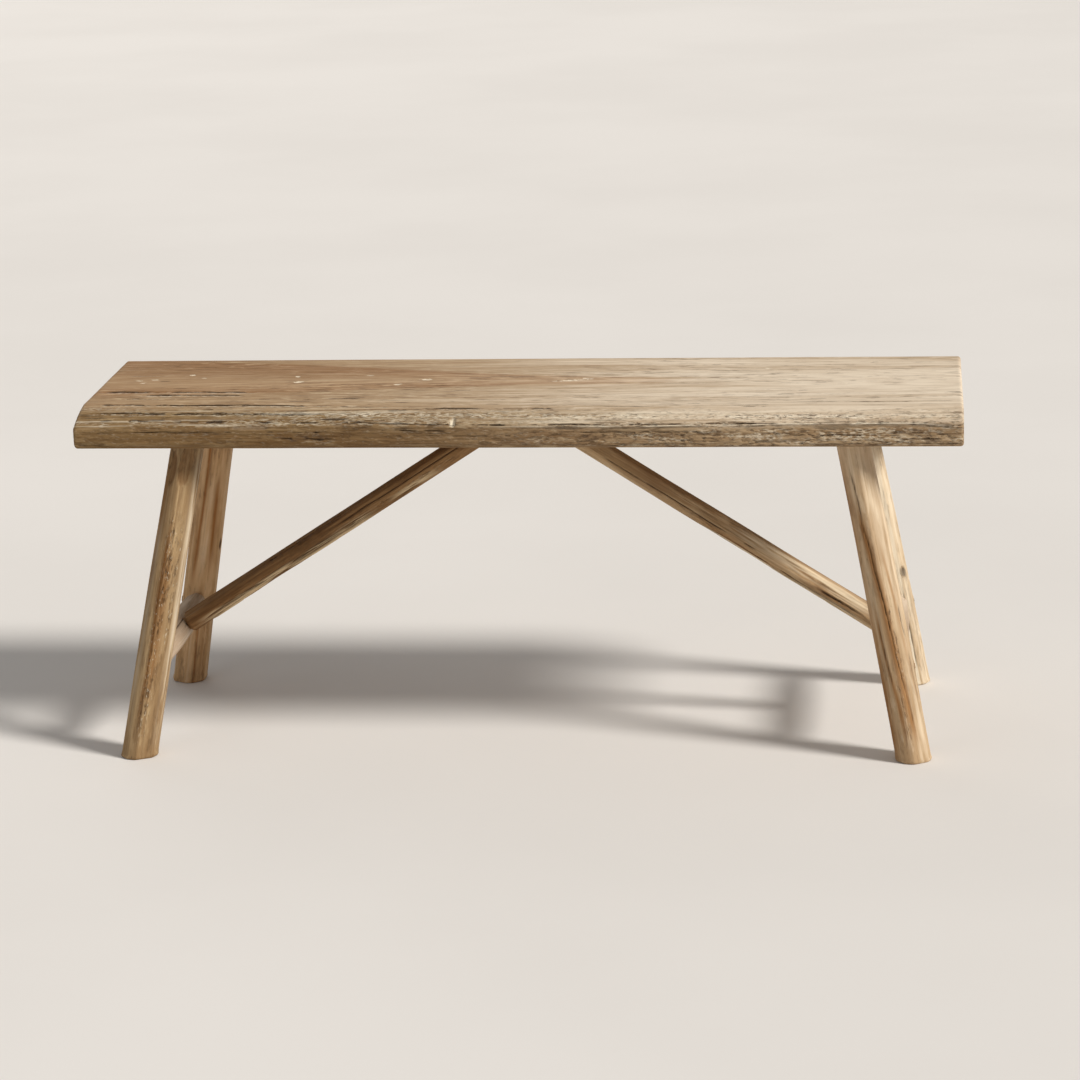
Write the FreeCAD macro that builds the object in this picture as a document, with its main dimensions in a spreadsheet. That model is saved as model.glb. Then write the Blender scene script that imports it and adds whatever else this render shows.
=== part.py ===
import FreeCAD, Part
import math
import os

import Sketcher

# A rustic bench: one waney plank on four splayed pole legs, with an end
# stretcher at each side and two diagonal braces that rise to the plank.
# Millimetres. +X runs to the right, +Y to the back, +Z up, the floor is Z = 0.

Vector = FreeCAD.Vector

SIZES = {
    # The plank
    "seat_length": 1120,
    "seat_depth": 330,
    "seat_thickness": 46,
    "seat_height": 450,
    "seat_arris": 4,
    # The waney front: how far the slope runs in, how far it drops, the roundness of the nose,
    # and the angle in degrees at which the slope leaves the top
    "wane_run_left": 68,
    "wane_run_middle": 48,
    "wane_run_right": 36,
    "wane_drop_left": 23,
    "wane_drop_middle": 19,
    "wane_drop_right": 17,
    "nose_radius": 8,
    "wane_dip": 5,
    # Leg axes: inset from the plank's edges at its underside, and splay to the floor
    "leg_inset_x": 139,
    "leg_inset_y": 47,
    "leg_splay_x": 76,
    "leg_splay_y": 49,
    # Girth and bow of each shaved pole
    "front_left_foot_dia": 50,
    "front_left_top_dia": 45,
    "front_left_bow": 2.5,
    "front_right_foot_dia": 49,
    "front_right_top_dia": 46,
    "front_right_bow": -2,
    "rear_left_foot_dia": 50,
    "rear_left_top_dia": 46,
    "rear_left_bow": -1.5,
    "rear_right_foot_dia": 49,
    "rear_right_top_dia": 45,
    "rear_right_bow": 2,
    "foot_chamfer": 2,
    # Leg tenons in blind sockets, each spread by a hidden wedge
    "leg_tenon_dia": 30,
    "socket_cover": 15,
    "socket_end_gap": 0.8,
    "glue_gap": 0.15,
    "wedge_head": 5,
    "wedge_tip": 2,
    "wedge_length": 22,
    "wedge_side_gap": 1,
    # End stretchers
    "stretcher_height": 119,
    "stretcher_dia": 38,
    "stretcher_end_dia": 34,
    "stretcher_tenon_dia": 22,
    "stretcher_tenon_past_axis": 8,
    "stretcher_shoulder": 4,
    # Diagonal braces
    "brace_foot_dia": 31,
    "brace_head_dia": 30,
    "brace_bow": 2,
    "brace_tip_gap": 5,
    "brace_shoulder": 3.5,
    "brace_tenon_dia": 18,
    "brace_tenon_past_axis": 7,
    # Pegs and screws
    "peg_dia": 7,
    "peg_depth_past_axis": 16,
    "brace_peg_dia": 5,
    "screw_dia": 5,
    "screw_head_dia": 9.5,
    "screw_head_height": 3.5,
    "screw_bore_gap": 1,
    "screw_length": 42,
    "screw_grip": 12,
    "screw_inset": 34,
}

LEGS = {
    "front_left": (-1, -1),
    "front_right": (1, -1),
    "rear_left": (-1, 1),
    "rear_right": (1, 1),
}
SIDES = {"left": -1, "right": 1}

# Flats round a shaved pole, how unevenly they are cut, and how far each leg's flats are turned
FACETS = 9
FLAT_UNEVENNESS = 0.24
FLAT_RHYTHM = 2.3
FACET_TURN = {"front_left": 4, "front_right": 17, "rear_left": 11, "rear_right": 24}

# Where a pole's girth is set between its ends: share of its length, share of its taper
LEG_WAISTS = ((0.3, 0.38), (0.7, 0.72))
BRACE_WAISTS = ((0.35, 0.4), (0.7, 0.7))
RAIL_BELLY = 0.45

# Half the length of a brace's bevelled head, in diameters of the head
BRACE_HEAD_SPREAD = 0.93
# How far outside the stretcher's axis a brace peg starts, in diameters of the tenon
BRACE_PEG_START = 0.8
# Rounding of a screw's head and length of its point, in head radii and shank diameters
SCREW_CROWN = 0.6
SCREW_POINT = 1.5

doc = FreeCAD.newDocument("bench")
os.makedirs("parts", exist_ok=True)

sheet = doc.addObject("Spreadsheet::Sheet", "dims")
for row, (name, value) in enumerate(SIZES.items(), start=1):
    sheet.set(f"A{row}", name)
    sheet.set(f"B{row}", str(value))
    sheet.setAlias(f"B{row}", name)
doc.recompute()


# Distances that several pieces share, as expressions on the sheet
UNDERSIDE = "(dims.seat_height - dims.seat_thickness)"
FOOT_X = "(dims.seat_length / 2 - dims.leg_inset_x + dims.leg_splay_x)"
FOOT_Y = "(dims.seat_depth / 2 - dims.leg_inset_y + dims.leg_splay_y)"
LEG_RUN = "hypot(dims.leg_splay_x; dims.leg_splay_y)"
LEG_TILT = f"atan2({LEG_RUN}; {UNDERSIDE})"
LEG_AXIS = f"hypot({LEG_RUN}; {UNDERSIDE})"
LEG_TENON = f"((dims.seat_thickness - dims.socket_cover) / cos({LEG_TILT}))"

# Where the stretcher crosses the leg axes
STRETCHER_SHARE = f"(dims.stretcher_height / {UNDERSIDE})"
STRETCHER_X = f"({FOOT_X} - dims.leg_splay_x * {STRETCHER_SHARE})"
STRETCHER_Y = f"({FOOT_Y} - dims.leg_splay_y * {STRETCHER_SHARE})"
STRETCHER_END = f"({STRETCHER_Y} + dims.stretcher_tenon_past_axis)"

# The brace rises from the stretcher's axis to the underside of the plank
BRACE_RISE = f"({UNDERSIDE} - dims.stretcher_height)"
BRACE_HEAD_X = f"(dims.brace_tip_gap / 2 + dims.brace_head_dia * {BRACE_HEAD_SPREAD})"
BRACE_RUN = f"({STRETCHER_X} - {BRACE_HEAD_X})"
BRACE_TILT = f"atan2({BRACE_RUN}; {BRACE_RISE})"
BRACE_AXIS = f"hypot({BRACE_RUN}; {BRACE_RISE})"
BRACE_FOOT = "(dims.stretcher_dia / 2)"

SCREW_X = "(dims.brace_tip_gap / 2 + dims.screw_inset)"
SCREW_SEAT = f"({UNDERSIDE} - dims.screw_grip)"


def placement(position, rotation="0; 0; 0"):
    """Expression for a placement from a position and yaw, pitch, roll."""
    return (
        f"create(<<placement>>; create(<<vector>>; {position});"
        f" create(<<rotation>>; {rotation}))"
    )


def origin_plane(body, role):
    return next(item for item in body.Origin.OriginFeatures if item.Role == role)


def new_sketch(body, name, role, offset=None):
    sketch = body.newObject("Sketcher::SketchObject", name)
    sketch.AttachmentSupport = (origin_plane(body, role), "")
    sketch.MapMode = "FlatFace"
    if offset:
        sketch.setExpression("AttachmentOffset", offset)
    return sketch


def add_bound(sketch, kind, references, expression, name):
    """Add a dimension to a sketch and bind it to the sheet."""
    value = float(sketch.evalExpression(expression))
    index = sketch.addConstraint(Sketcher.Constraint(kind, *references, value))
    sketch.renameConstraint(index, name)
    sketch.setExpression(f"Constraints.{name}", expression)


def circle_sketch(body, name, height, diameter, shift="0"):
    """A circle across the body's own axis at a height along it."""
    sketch = new_sketch(body, name, "XY_Plane", placement(f"0; {shift}; {height}"))
    start = float(sketch.evalExpression(diameter)) / 2
    sketch.addGeometry(Part.Circle(Vector(0, 0, 0), Vector(0, 0, 1), start))
    sketch.addConstraint(Sketcher.Constraint("Coincident", 0, 3, -1, 1))
    add_bound(sketch, "Diameter", (0,), diameter, "diameter")
    return sketch


def arc_between(first, second, radius):
    """The arc that turns left from one point to another, for less than a half turn."""
    chord = second - first
    rise = math.sqrt(radius ** 2 - (chord.Length / 2) ** 2)
    leftward = Vector(-chord.y, chord.x, 0) / chord.Length
    centre = (first + second) / 2 + leftward * rise
    opening = math.atan2(first.y - centre.y, first.x - centre.x)
    closing = math.atan2(second.y - centre.y, second.x - centre.x)
    return Part.ArcOfCircle(Part.Circle(centre, Vector(0, 0, 1), radius), opening, closing)


def polygon_sketch(body, name, role, corners, offset=None, rounds=None):
    """A closed outline whose corners are pairs of expressions.

    rounds gives the radius of each side that is an arc, by the number of the side."""
    sketch = new_sketch(body, name, role, offset)
    rounds = rounds or {}
    points = []
    for across, along in corners:
        x = float(sketch.evalExpression(across))
        y = float(sketch.evalExpression(along))
        points.append(Vector(x, y, 0))
    count = len(points)
    for index in range(count):
        first, second = points[index], points[(index + 1) % count]
        if index in rounds:
            sketch.addGeometry(arc_between(first, second, float(sketch.evalExpression(rounds[index]))))
        else:
            sketch.addGeometry(Part.LineSegment(first, second))
    for index in range(count):
        follower = (index + 1) % count
        sketch.addConstraint(Sketcher.Constraint("Coincident", index, 2, follower, 1))
    for index, (across, along) in enumerate(corners):
        add_bound(sketch, "DistanceX", (-1, 1, index, 1), across, f"x{index}")
        add_bound(sketch, "DistanceY", (-1, 1, index, 1), along, f"y{index}")
    for index, radius in rounds.items():
        add_bound(sketch, "Radius", (index,), radius, f"round{index}")
    return sketch


def cut_across(body, name, sketch):
    """Pocket a sketch through the whole body, to both sides of its plane."""
    before = body.Shape.Volume
    pocket = body.newObject("PartDesign::Pocket", name)
    pocket.Profile = sketch
    pocket.Type = "ThroughAll"
    pocket.SideType = "Symmetric"
    doc.recompute()
    if not pocket.Shape.Volume < before:
        raise RuntimeError(f"{name} removed nothing")


def trim_level(body, name, tilt, height, reach, above):
    """Saw a tilted pole off level, at a distance along its own axis."""
    far = reach if above else f"-{reach}"
    corners = [(f"-{reach}", "0"), (reach, "0"), (reach, far), (f"-{reach}", far)]
    offset = placement(f"0; {height}; 0", f"{tilt}; 0; 0")
    cut_across(body, name, polygon_sketch(body, f"{name}_outline", "XZ_Plane", corners, offset))


def facet_corners(diameter, turn):
    """Corners of a pole shaved by hand to unequal flats."""
    corners = []
    for index in range(FACETS):
        uneven = FLAT_UNEVENNESS * math.sin(FLAT_RHYTHM * index + turn)
        angle = 2 * math.pi * (index + uneven) / FACETS + math.radians(turn)
        across = f"({diameter}) / 2 * {math.cos(angle):.4f}"
        along = f"({diameter}) / 2 * {math.sin(angle):.4f}"
        corners.append((across, along))
    return corners


def girth(first, last, share):
    """Diameter between the two ends of a tapered pole."""
    return f"({first} + ({last} - {first}) * {share})"


def loft_pole(body, name, rings, turn):
    """A shaved pole through rings given as (height, diameter, sideways shift)."""
    sketches = []
    for index, (height, diameter, shift) in enumerate(rings):
        corners = facet_corners(diameter, turn)
        offset = placement(f"0; {shift}; {height}")
        sketches.append(polygon_sketch(body, f"{name}_ring_{index}", "XY_Plane", corners, offset))
    doc.recompute()
    loft = body.newObject("PartDesign::AdditiveLoft", name)
    loft.Profile = (sketches[0], [""])
    loft.Sections = [(sketch, [""]) for sketch in sketches[1:]]
    loft.Ruled = True
    doc.recompute()


def pad_circle(body, name, height, diameter, length):
    pad = body.newObject("PartDesign::Pad", name)
    pad.Profile = circle_sketch(body, f"{name}_outline", height, diameter)
    pad.setExpression("Length", length)
    doc.recompute()


def new_body(name, place):
    body = doc.addObject("PartDesign::Body", name)
    body.Label = name
    body.setExpression("Placement", place)
    return body


def cylinder(name, diameter, length, place):
    """A round cutter or dowel."""
    solid = doc.addObject("Part::Cylinder", name)
    solid.setExpression("Radius", f"({diameter}) / 2")
    solid.setExpression("Height", length)
    solid.setExpression("Placement", place)
    return solid


def cut(label, base, tools):
    """The finished piece: a base less its sockets and holes."""
    joined = doc.addObject("Part::MultiFuse", f"{label}_cutters")
    joined.Shapes = tools
    piece = doc.addObject("Part::Cut", label)
    piece.Base = base
    piece.Tool = joined
    piece.Label = label
    return piece


def leg_heading(side, end):
    return f"atan2({-end} * dims.leg_splay_y; {-side} * dims.leg_splay_x)"


def leg_place(side, end, height="0"):
    """On a leg's axis, at a distance along it, turned to point up the leg."""
    share = f"(({height}) / {LEG_AXIS})"
    position = (
        f"{side} * ({FOOT_X} - dims.leg_splay_x * {share});"
        f" {end} * ({FOOT_Y} - dims.leg_splay_y * {share}); {UNDERSIDE} * {share}"
    )
    return placement(position, f"{leg_heading(side, end)}; {LEG_TILT}; 0")


def brace_place(side, along="0"):
    """On a brace's axis, at a distance from the stretcher's axis."""
    heading = 180 if side > 0 else 0
    position = (
        f"{side} * ({STRETCHER_X} - ({along}) * sin({BRACE_TILT})); 0;"
        f" dims.stretcher_height + ({along}) * cos({BRACE_TILT})"
    )
    return placement(position, f"{heading}; {BRACE_TILT}; 0")


# The shaved pole of each leg, sawn level at the floor and under the plank,
# with a round tenon that is slit for its wedge
def wedge_outline(body, name, side, end, gap):
    """Taper of the wedge across the tenon, in line with the plank's grain."""
    top = f"{LEG_AXIS} + {LEG_TENON}"
    tip = f"{top} - dims.wedge_length - {gap}"
    wide = f"dims.wedge_head / 2 + {gap}"
    thin = f"dims.wedge_tip / 2 + {gap}"
    corners = [
        (f"-({thin})", tip),
        (thin, tip),
        (wide, top),
        (f"-({wide})", top),
    ]
    turn = placement("0; 0; 0", f"0; -{leg_heading(side, end)}; 0")
    return polygon_sketch(body, name, "XZ_Plane", corners, turn)


def build_pole(name, side, end):
    foot = f"dims.{name}_foot_dia"
    top = f"dims.{name}_top_dia"
    bow = f"dims.{name}_bow"
    body = new_body(f"pole_{name}", leg_place(side, end))
    rings = [(f"-{foot} / 2", foot, "0")]
    rings += [(f"{LEG_AXIS} * {place}", girth(foot, top, share), bow) for place, share in LEG_WAISTS]
    rings += [(f"{LEG_AXIS} + {top} / 2", top, "0")]
    loft_pole(body, f"{name}_pole", rings, FACET_TURN[name])
    trim_level(body, f"{name}_floor_cut", LEG_TILT, "0", foot, False)
    trim_level(body, f"{name}_shoulder", LEG_TILT, LEG_AXIS, f"{top} * 1.5", True)
    sawn = body.Tip
    rim = body.newObject("PartDesign::Chamfer", f"{name}_foot_rim")
    rim.Base = (sawn, lowest_edges(sawn.Shape))
    rim.setExpression("Size", "dims.foot_chamfer")
    doc.recompute()
    root = "dims.leg_tenon_dia / 2"
    pad_circle(
        body, f"{name}_tenon", f"{LEG_AXIS} - {root}", "dims.leg_tenon_dia", f"{LEG_TENON} + {root}"
    )
    slit = wedge_outline(body, f"{name}_slit_outline", side, end, "dims.glue_gap")
    cut_across(body, f"{name}_slit", slit)
    return body


def lowest_edges(shape):
    """Names of the edges round the end face that lies lowest along the axis."""
    flat = [face for face in shape.Faces if isinstance(face.Surface, Part.Plane)]
    sole = min(flat, key=lambda face: face.CenterOfMass.z)
    names = []
    for index, edge in enumerate(shape.Edges, start=1):
        if any(edge.isSame(other) for other in sole.Edges):
            names.append(f"Edge{index}")
    return names


def build_wedge(name, side, end):
    body = new_body(f"wedge_{name}", leg_place(side, end))
    pad = body.newObject("PartDesign::Pad", f"{name}_wedge_pad")
    pad.Profile = wedge_outline(body, f"{name}_wedge_outline", side, end, "0")
    pad.SideType = "Symmetric"
    pad.setExpression("Length", "dims.leg_tenon_dia - 2 * dims.wedge_side_gap")
    doc.recompute()
    return body


pieces = []
sockets = []
poles = {}
for leg, (side, end) in LEGS.items():
    poles[leg] = build_pole(leg, side, end)
    pieces.append(build_wedge(leg, side, end))
    start = f"{LEG_AXIS} - dims.leg_tenon_dia"
    length = f"dims.leg_tenon_dia + {LEG_TENON} + dims.socket_end_gap"
    width = "dims.leg_tenon_dia + 2 * dims.glue_gap"
    sockets.append(cylinder(f"socket_{leg}", width, length, leg_place(side, end, f"({start})")))


# Pegs through the stretcher tenons, driven from the outer side of each leg
# and pared flush with the pole
def peg_place(side, end):
    position = (
        f"{side} * ({STRETCHER_X} - dims.peg_depth_past_axis);"
        f" {end} * {STRETCHER_Y}; dims.stretcher_height"
    )
    return placement(position, f"0; {90 * side}; 0")


PEG_REACH = "dims.peg_depth_past_axis + dims.front_left_foot_dia"
pegs = []
peg_holes = {}
for leg, (side, end) in LEGS.items():
    blank = cylinder(f"peg_blank_{leg}", "dims.peg_dia", PEG_REACH, peg_place(side, end))
    flush = doc.addObject("Part::Common", f"peg_{leg}")
    flush.Base = blank
    flush.Tool = poles[leg]
    pegs.append(flush)
    bore = "dims.peg_dia + 2 * dims.glue_gap"
    peg_holes[leg] = cylinder(f"peg_hole_{leg}", bore, PEG_REACH, peg_place(side, end))

for leg, (side, end) in LEGS.items():
    place = placement(
        f"{side} * {STRETCHER_X}; {end} * ({STRETCHER_Y} - dims.{leg}_foot_dia); dims.stretcher_height",
        f"0; 0; {-90 * end}",
    )
    mortise = cylinder(
        f"mortise_{leg}",
        "dims.stretcher_tenon_dia + 2 * dims.glue_gap",
        f"dims.{leg}_foot_dia + dims.stretcher_tenon_past_axis + dims.socket_end_gap",
        place,
    )
    pieces.append(cut(f"leg_{leg}", poles[leg], [mortise, peg_holes[leg]]))


# Stretchers: shaved rails with a shoulder, a shallow belly and a tenon at each end
def build_rail(name, side):
    body = new_body(
        f"rail_{name}", placement(f"{side} * {STRETCHER_X}; 0; dims.stretcher_height", "0; 0; -90")
    )
    leg_half = f"dims.front_{name}_foot_dia / 2"
    shoulder = f"({STRETCHER_Y} - {leg_half} / cos({LEG_TILT}))"
    rise = f"({shoulder} - dims.stretcher_shoulder)"
    belly = "dims.stretcher_dia"
    end = "dims.stretcher_end_dia"
    rim = f"{end} - 2 * dims.stretcher_shoulder"
    rings = [(f"-{shoulder}", rim, "0"), (f"-{rise}", end, "0"), (f"-{rise} * {RAIL_BELLY}", belly, "0")]
    rings += [(f"{rise} * {RAIL_BELLY}", belly, "0"), (rise, end, "0"), (shoulder, rim, "0")]
    loft_pole(body, f"{name}_rail", rings, 9 * side)
    pad_circle(
        body, f"{name}_rail_tenons", f"-{STRETCHER_END}", "dims.stretcher_tenon_dia", f"2 * {STRETCHER_END}"
    )
    return body


# Braces: a pole with a shouldered tenon below and a head bevelled to the plank
def build_brace(name, side):
    body = new_body(f"diagonal_{name}", brace_place(side))
    foot = "dims.brace_foot_dia"
    head = "dims.brace_head_dia"
    rim = f"{foot} - 2 * dims.brace_shoulder"
    bow = f"{side} * dims.brace_bow"
    rise = f"{BRACE_FOOT} + dims.brace_shoulder"
    rings = [(BRACE_FOOT, rim, "0"), (rise, foot, "0")]
    rings += [(f"{BRACE_AXIS} * {place}", girth(foot, head, share), bow) for place, share in BRACE_WAISTS]
    rings += [(f"{BRACE_AXIS} + {head} * 2", head, "0")]
    loft_pole(body, f"{name}_brace", rings, 13 * side)
    trim_level(body, f"{name}_bevel", BRACE_TILT, BRACE_AXIS, f"{head} * 6", True)
    pad_circle(
        body,
        f"{name}_brace_tenon",
        "-dims.brace_tenon_past_axis",
        "dims.brace_tenon_dia",
        f"dims.brace_tenon_past_axis + {BRACE_FOOT} + dims.brace_shoulder",
    )
    return body


def brace_peg_place(side):
    """Square to the brace, pointing up and outwards, from beyond its tenon."""
    heading = 180 if side > 0 else 0
    start = f"(-{BRACE_PEG_START} * dims.brace_tenon_dia)"
    position = (
        f"{side} * ({STRETCHER_X} + {start} * cos({BRACE_TILT})); 0;"
        f" dims.stretcher_height + {start} * sin({BRACE_TILT})"
    )
    return placement(position, f"{heading}; {BRACE_TILT} - 90 deg; 0")


def build_screw(name, side):
    """A round-headed wood screw, head down, on the plank's vertical."""
    body = new_body(f"screw_{name}", placement(f"{side} * {SCREW_X}; 0; {SCREW_SEAT}"))
    shank = "dims.screw_dia / 2"
    head = "dims.screw_head_dia / 2"
    drop = "-dims.screw_head_height"
    crown = f"{head} * {SCREW_CROWN}"
    point = f"dims.screw_length - dims.screw_dia * {SCREW_POINT}"
    corners = [("0", drop), (crown, drop), (head, f"{drop} / 2"), (head, "0"), (shank, "0")]
    corners += [(shank, point), ("0", "dims.screw_length")]
    turned = body.newObject("PartDesign::Revolution", f"{name}_screw_turning")
    turned.Profile = polygon_sketch(body, f"{name}_screw_profile", "XZ_Plane", corners)
    turned.ReferenceAxis = (next(i for i in body.Origin.OriginFeatures if i.Role == "Z_Axis"), [""])
    turned.Angle = 360
    doc.recompute()
    return body


screws = []
brace_pegs = []
screw_holes = []
for name, side in SIDES.items():
    rail = build_rail(name, side)
    brace = build_brace(name, side)
    screws.append(build_screw(name, side))

    clear = "dims.screw_dia + 2 * dims.glue_gap"
    level = placement(f"{side} * {SCREW_X}; 0; {SCREW_SEAT}")
    screw_hole = cylinder(f"screw_hole_{name}", clear, "dims.screw_length + dims.socket_end_gap", level)
    screw_holes.append(screw_hole)
    sunk = placement(f"{side} * {SCREW_X}; 0; {SCREW_SEAT} - dims.brace_head_dia")
    wide = "dims.screw_head_dia + 2 * dims.screw_bore_gap"
    head_bore = cylinder(f"screw_bore_{name}", wide, "dims.brace_head_dia", sunk)

    bore = "dims.brace_tenon_dia + 2 * dims.glue_gap"
    length = f"dims.brace_tenon_past_axis + dims.socket_end_gap + {BRACE_FOOT} * 2"
    start = "-dims.brace_tenon_past_axis - dims.socket_end_gap"
    mortise = cylinder(f"brace_mortise_{name}", bore, length, brace_place(side, start))

    # The peg crosses the brace tenon from the outer upper side of the stretcher
    reach = "dims.stretcher_dia"
    across = brace_peg_place(side)
    peg_blank = cylinder(f"brace_peg_blank_{name}", "dims.brace_peg_dia", reach, across)
    peg = doc.addObject("Part::Common", f"brace_peg_{name}")
    peg.Base = peg_blank
    peg.Tool = rail
    brace_pegs.append(peg)
    peg_hole = cylinder(f"brace_peg_hole_{name}", "dims.brace_peg_dia + 2 * dims.glue_gap", reach, across)

    tenon_holes = [peg_holes[f"front_{name}"], peg_holes[f"rear_{name}"]]
    pieces.append(cut(f"stretcher_{name}", rail, tenon_holes + [mortise, peg_hole]))
    pieces.append(cut(f"brace_{name}", brace, [screw_hole, head_bore, peg_hole]))


# The plank: sawn square, arrises eased, the front planed away to the wane
plank = new_body("plank", placement("0; 0; 0"))
half = "dims.seat_depth / 2"
outline = [
    (f"-{half}", UNDERSIDE),
    (half, UNDERSIDE),
    (half, "dims.seat_height"),
    (f"-{half}", "dims.seat_height"),
]
blank = plank.newObject("PartDesign::Pad", "plank_blank")
blank.Profile = polygon_sketch(plank, "plank_outline", "YZ_Plane", outline)
blank.SideType = "Symmetric"
blank.setExpression("Length", "dims.seat_length")
doc.recompute()
eased = plank.newObject("PartDesign::Fillet", "plank_arrises")
eased.Base = (blank, [f"Edge{index + 1}" for index in range(len(blank.Shape.Edges))])
eased.setExpression("Radius", "dims.seat_arris")
doc.recompute()


def wane_section(station, offset):
    """What the wane takes off at one station.

    A long arc dips from the top and runs into the round of the nose, which meets the front upright."""
    run = f"dims.wane_run_{station}"
    drop = f"dims.wane_drop_{station}"
    nose = "dims.nose_radius"
    front = f"-{half}"
    top = "dims.seat_height"
    outside = f"{front} - 2 * dims.seat_arris"
    above = f"{top} + 2 * dims.seat_arris"
    # The radius at which the long arc touches the nose, its centre, and where the two arcs meet
    sine = "sin(dims.wane_dip * 1 deg)"
    cosine = "cos(dims.wane_dip * 1 deg)"
    over = f"({run} - {nose})"
    sweep = f"(({over}^2 + {drop}^2 - {nose}^2) / (2 * ({drop} * {cosine} - {over} * {sine} - {nose})))"
    centre_y = f"({front} + {run} + {sweep} * {sine})"
    centre_z = f"({top} - {sweep} * {cosine})"
    reach = f"({sweep} / ({sweep} - {nose}))"
    meeting_y = f"{centre_y} + ({front} + {nose} - {centre_y}) * {reach}"
    meeting_z = f"{centre_z} + ({top} - {drop} - {centre_z}) * {reach}"
    corners = [
        (f"{front} + {run}", top),
        (meeting_y, meeting_z),
        (front, f"{top} - {drop}"),
        (outside, f"{top} - {drop}"),
        (outside, above),
        (f"{front} + {run}", above),
    ]
    place = placement(f"0; 0; {offset}")
    return polygon_sketch(plank, f"wane_{station}", "YZ_Plane", corners, place, {0: sweep, 1: nose})


END = "(dims.seat_length / 2 + 1)"
sections = [
    wane_section("left", f"-{END}"),
    wane_section("middle", "0"),
    wane_section("right", END),
]
doc.recompute()
sawn_volume = plank.Shape.Volume
wane = plank.newObject("PartDesign::SubtractiveLoft", "wane")
wane.Profile = (sections[0], [""])
wane.Sections = [(section, [""]) for section in sections[1:]]
doc.recompute()
if not plank.Shape.Volume < sawn_volume:
    raise RuntimeError("the wane removed nothing")
pieces.append(cut("seat", plank, sockets + screw_holes))


def group(label, members):
    """Fasteners of one kind, kept as separate solids."""
    bundle = doc.addObject("Part::Compound", label)
    bundle.Links = members
    bundle.Label = label
    pieces.append(bundle)


group("stretcher_pegs", pegs)
group("brace_pegs", brace_pegs)
group("brace_screws", screws)
doc.recompute()

for item in doc.Objects:
    if "Invalid" in item.State or "Error" in item.State:
        raise RuntimeError(f"{item.Name} did not compute")
for piece in pieces:
    if piece.Shape.isNull() or not piece.Shape.isValid():
        raise RuntimeError(f"{piece.Label} has no valid shape")
    piece.Shape.exportStep(f"parts/{piece.Label}.step")
    solids = len(piece.Shape.Solids)
    print(f"{piece.Label}: {solids} solid(s), {piece.Shape.Volume / 1000:.1f} cm3")
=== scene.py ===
import math

import bpy
import numpy as np
from mathutils import Matrix, Vector


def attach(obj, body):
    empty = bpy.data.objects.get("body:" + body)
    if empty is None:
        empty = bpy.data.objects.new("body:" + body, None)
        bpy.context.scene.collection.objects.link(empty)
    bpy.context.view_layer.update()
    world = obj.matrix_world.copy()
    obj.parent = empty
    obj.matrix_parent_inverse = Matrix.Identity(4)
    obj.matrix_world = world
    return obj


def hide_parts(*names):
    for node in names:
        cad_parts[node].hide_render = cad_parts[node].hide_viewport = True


# A rustic bench of weathered wood: a waney plank, shaved pole legs, end
# stretchers and diagonal braces. Metres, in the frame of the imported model.

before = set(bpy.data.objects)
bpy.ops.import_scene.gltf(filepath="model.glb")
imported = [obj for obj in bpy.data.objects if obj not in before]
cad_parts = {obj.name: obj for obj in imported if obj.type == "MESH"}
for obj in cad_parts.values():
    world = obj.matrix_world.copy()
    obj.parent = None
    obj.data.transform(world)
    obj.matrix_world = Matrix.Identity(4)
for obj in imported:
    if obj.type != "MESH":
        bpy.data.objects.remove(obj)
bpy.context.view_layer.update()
MM = 0.001

# Sizes of the construction, in millimetres
LENGTH = 1120.0
DEPTH = 330.0
TOP = 450.0
UNDERSIDE = 404.0
FRONT = -DEPTH / 2
BACK = DEPTH / 2
END = LENGTH / 2
ARRIS = 4.0
NOSE = 8.0
WANE_DIP = math.radians(5)
FOOT_X = 497.0
FOOT_Y = 167.0
SPLAY_X = 76.0
SPLAY_Y = 49.0
LEG_TILT = math.atan2(math.hypot(SPLAY_X, SPLAY_Y), UNDERSIDE)
LEG_AXIS = UNDERSIDE / math.cos(LEG_TILT)
STRETCHER_RADIUS = 19.0
STRETCHER_END_RADIUS = 17.0
STRETCHER_TENON_RADIUS = 11.0
STRETCHER_SHOULDER = 4.0
STRETCHER_BELLY = 0.45
STRETCHER_Z = 119.0
STRETCHER_X = FOOT_X - SPLAY_X * STRETCHER_Z / UNDERSIDE
STRETCHER_Y = FOOT_Y - SPLAY_Y * STRETCHER_Z / UNDERSIDE
BRACE_FOOT_RADIUS = 15.5
BRACE_HEAD_RADIUS = 15.0
BRACE_TENON_RADIUS = 9.0
BRACE_SHOULDER = 3.5
BRACE_FOOT = 19.0
BRACE_TENON_START = 8.0
BRACE_BEVEL = 190.0
BRACE_BOW = 2.0
HALF_TIP_GAP = 2.5
BRACE_HEAD_SPREAD = 0.93
BRACE_HEAD_X = HALF_TIP_GAP + 2 * BRACE_HEAD_RADIUS * BRACE_HEAD_SPREAD
BRACE_RISE = UNDERSIDE - STRETCHER_Z
BRACE_RUN = STRETCHER_X - BRACE_HEAD_X
BRACE_TILT = math.atan2(BRACE_RUN, BRACE_RISE)
BRACE_AXIS = math.hypot(BRACE_RUN, BRACE_RISE)
TENON_STEP = 0.2
TENON_PAST_LEG = 6.0
PEG_RADIUS = 3.5
BRACE_PEG_RADIUS = 2.5
SCREW_INSET = 34.0
SCREW_GRIP = 12.0
SCREW_X = HALF_TIP_GAP + SCREW_INSET
SCREW_SEAT = UNDERSIDE - SCREW_GRIP
SCREW_BORE = 5.75
SCREW_BORE_DEPTH = 24.0


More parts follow.
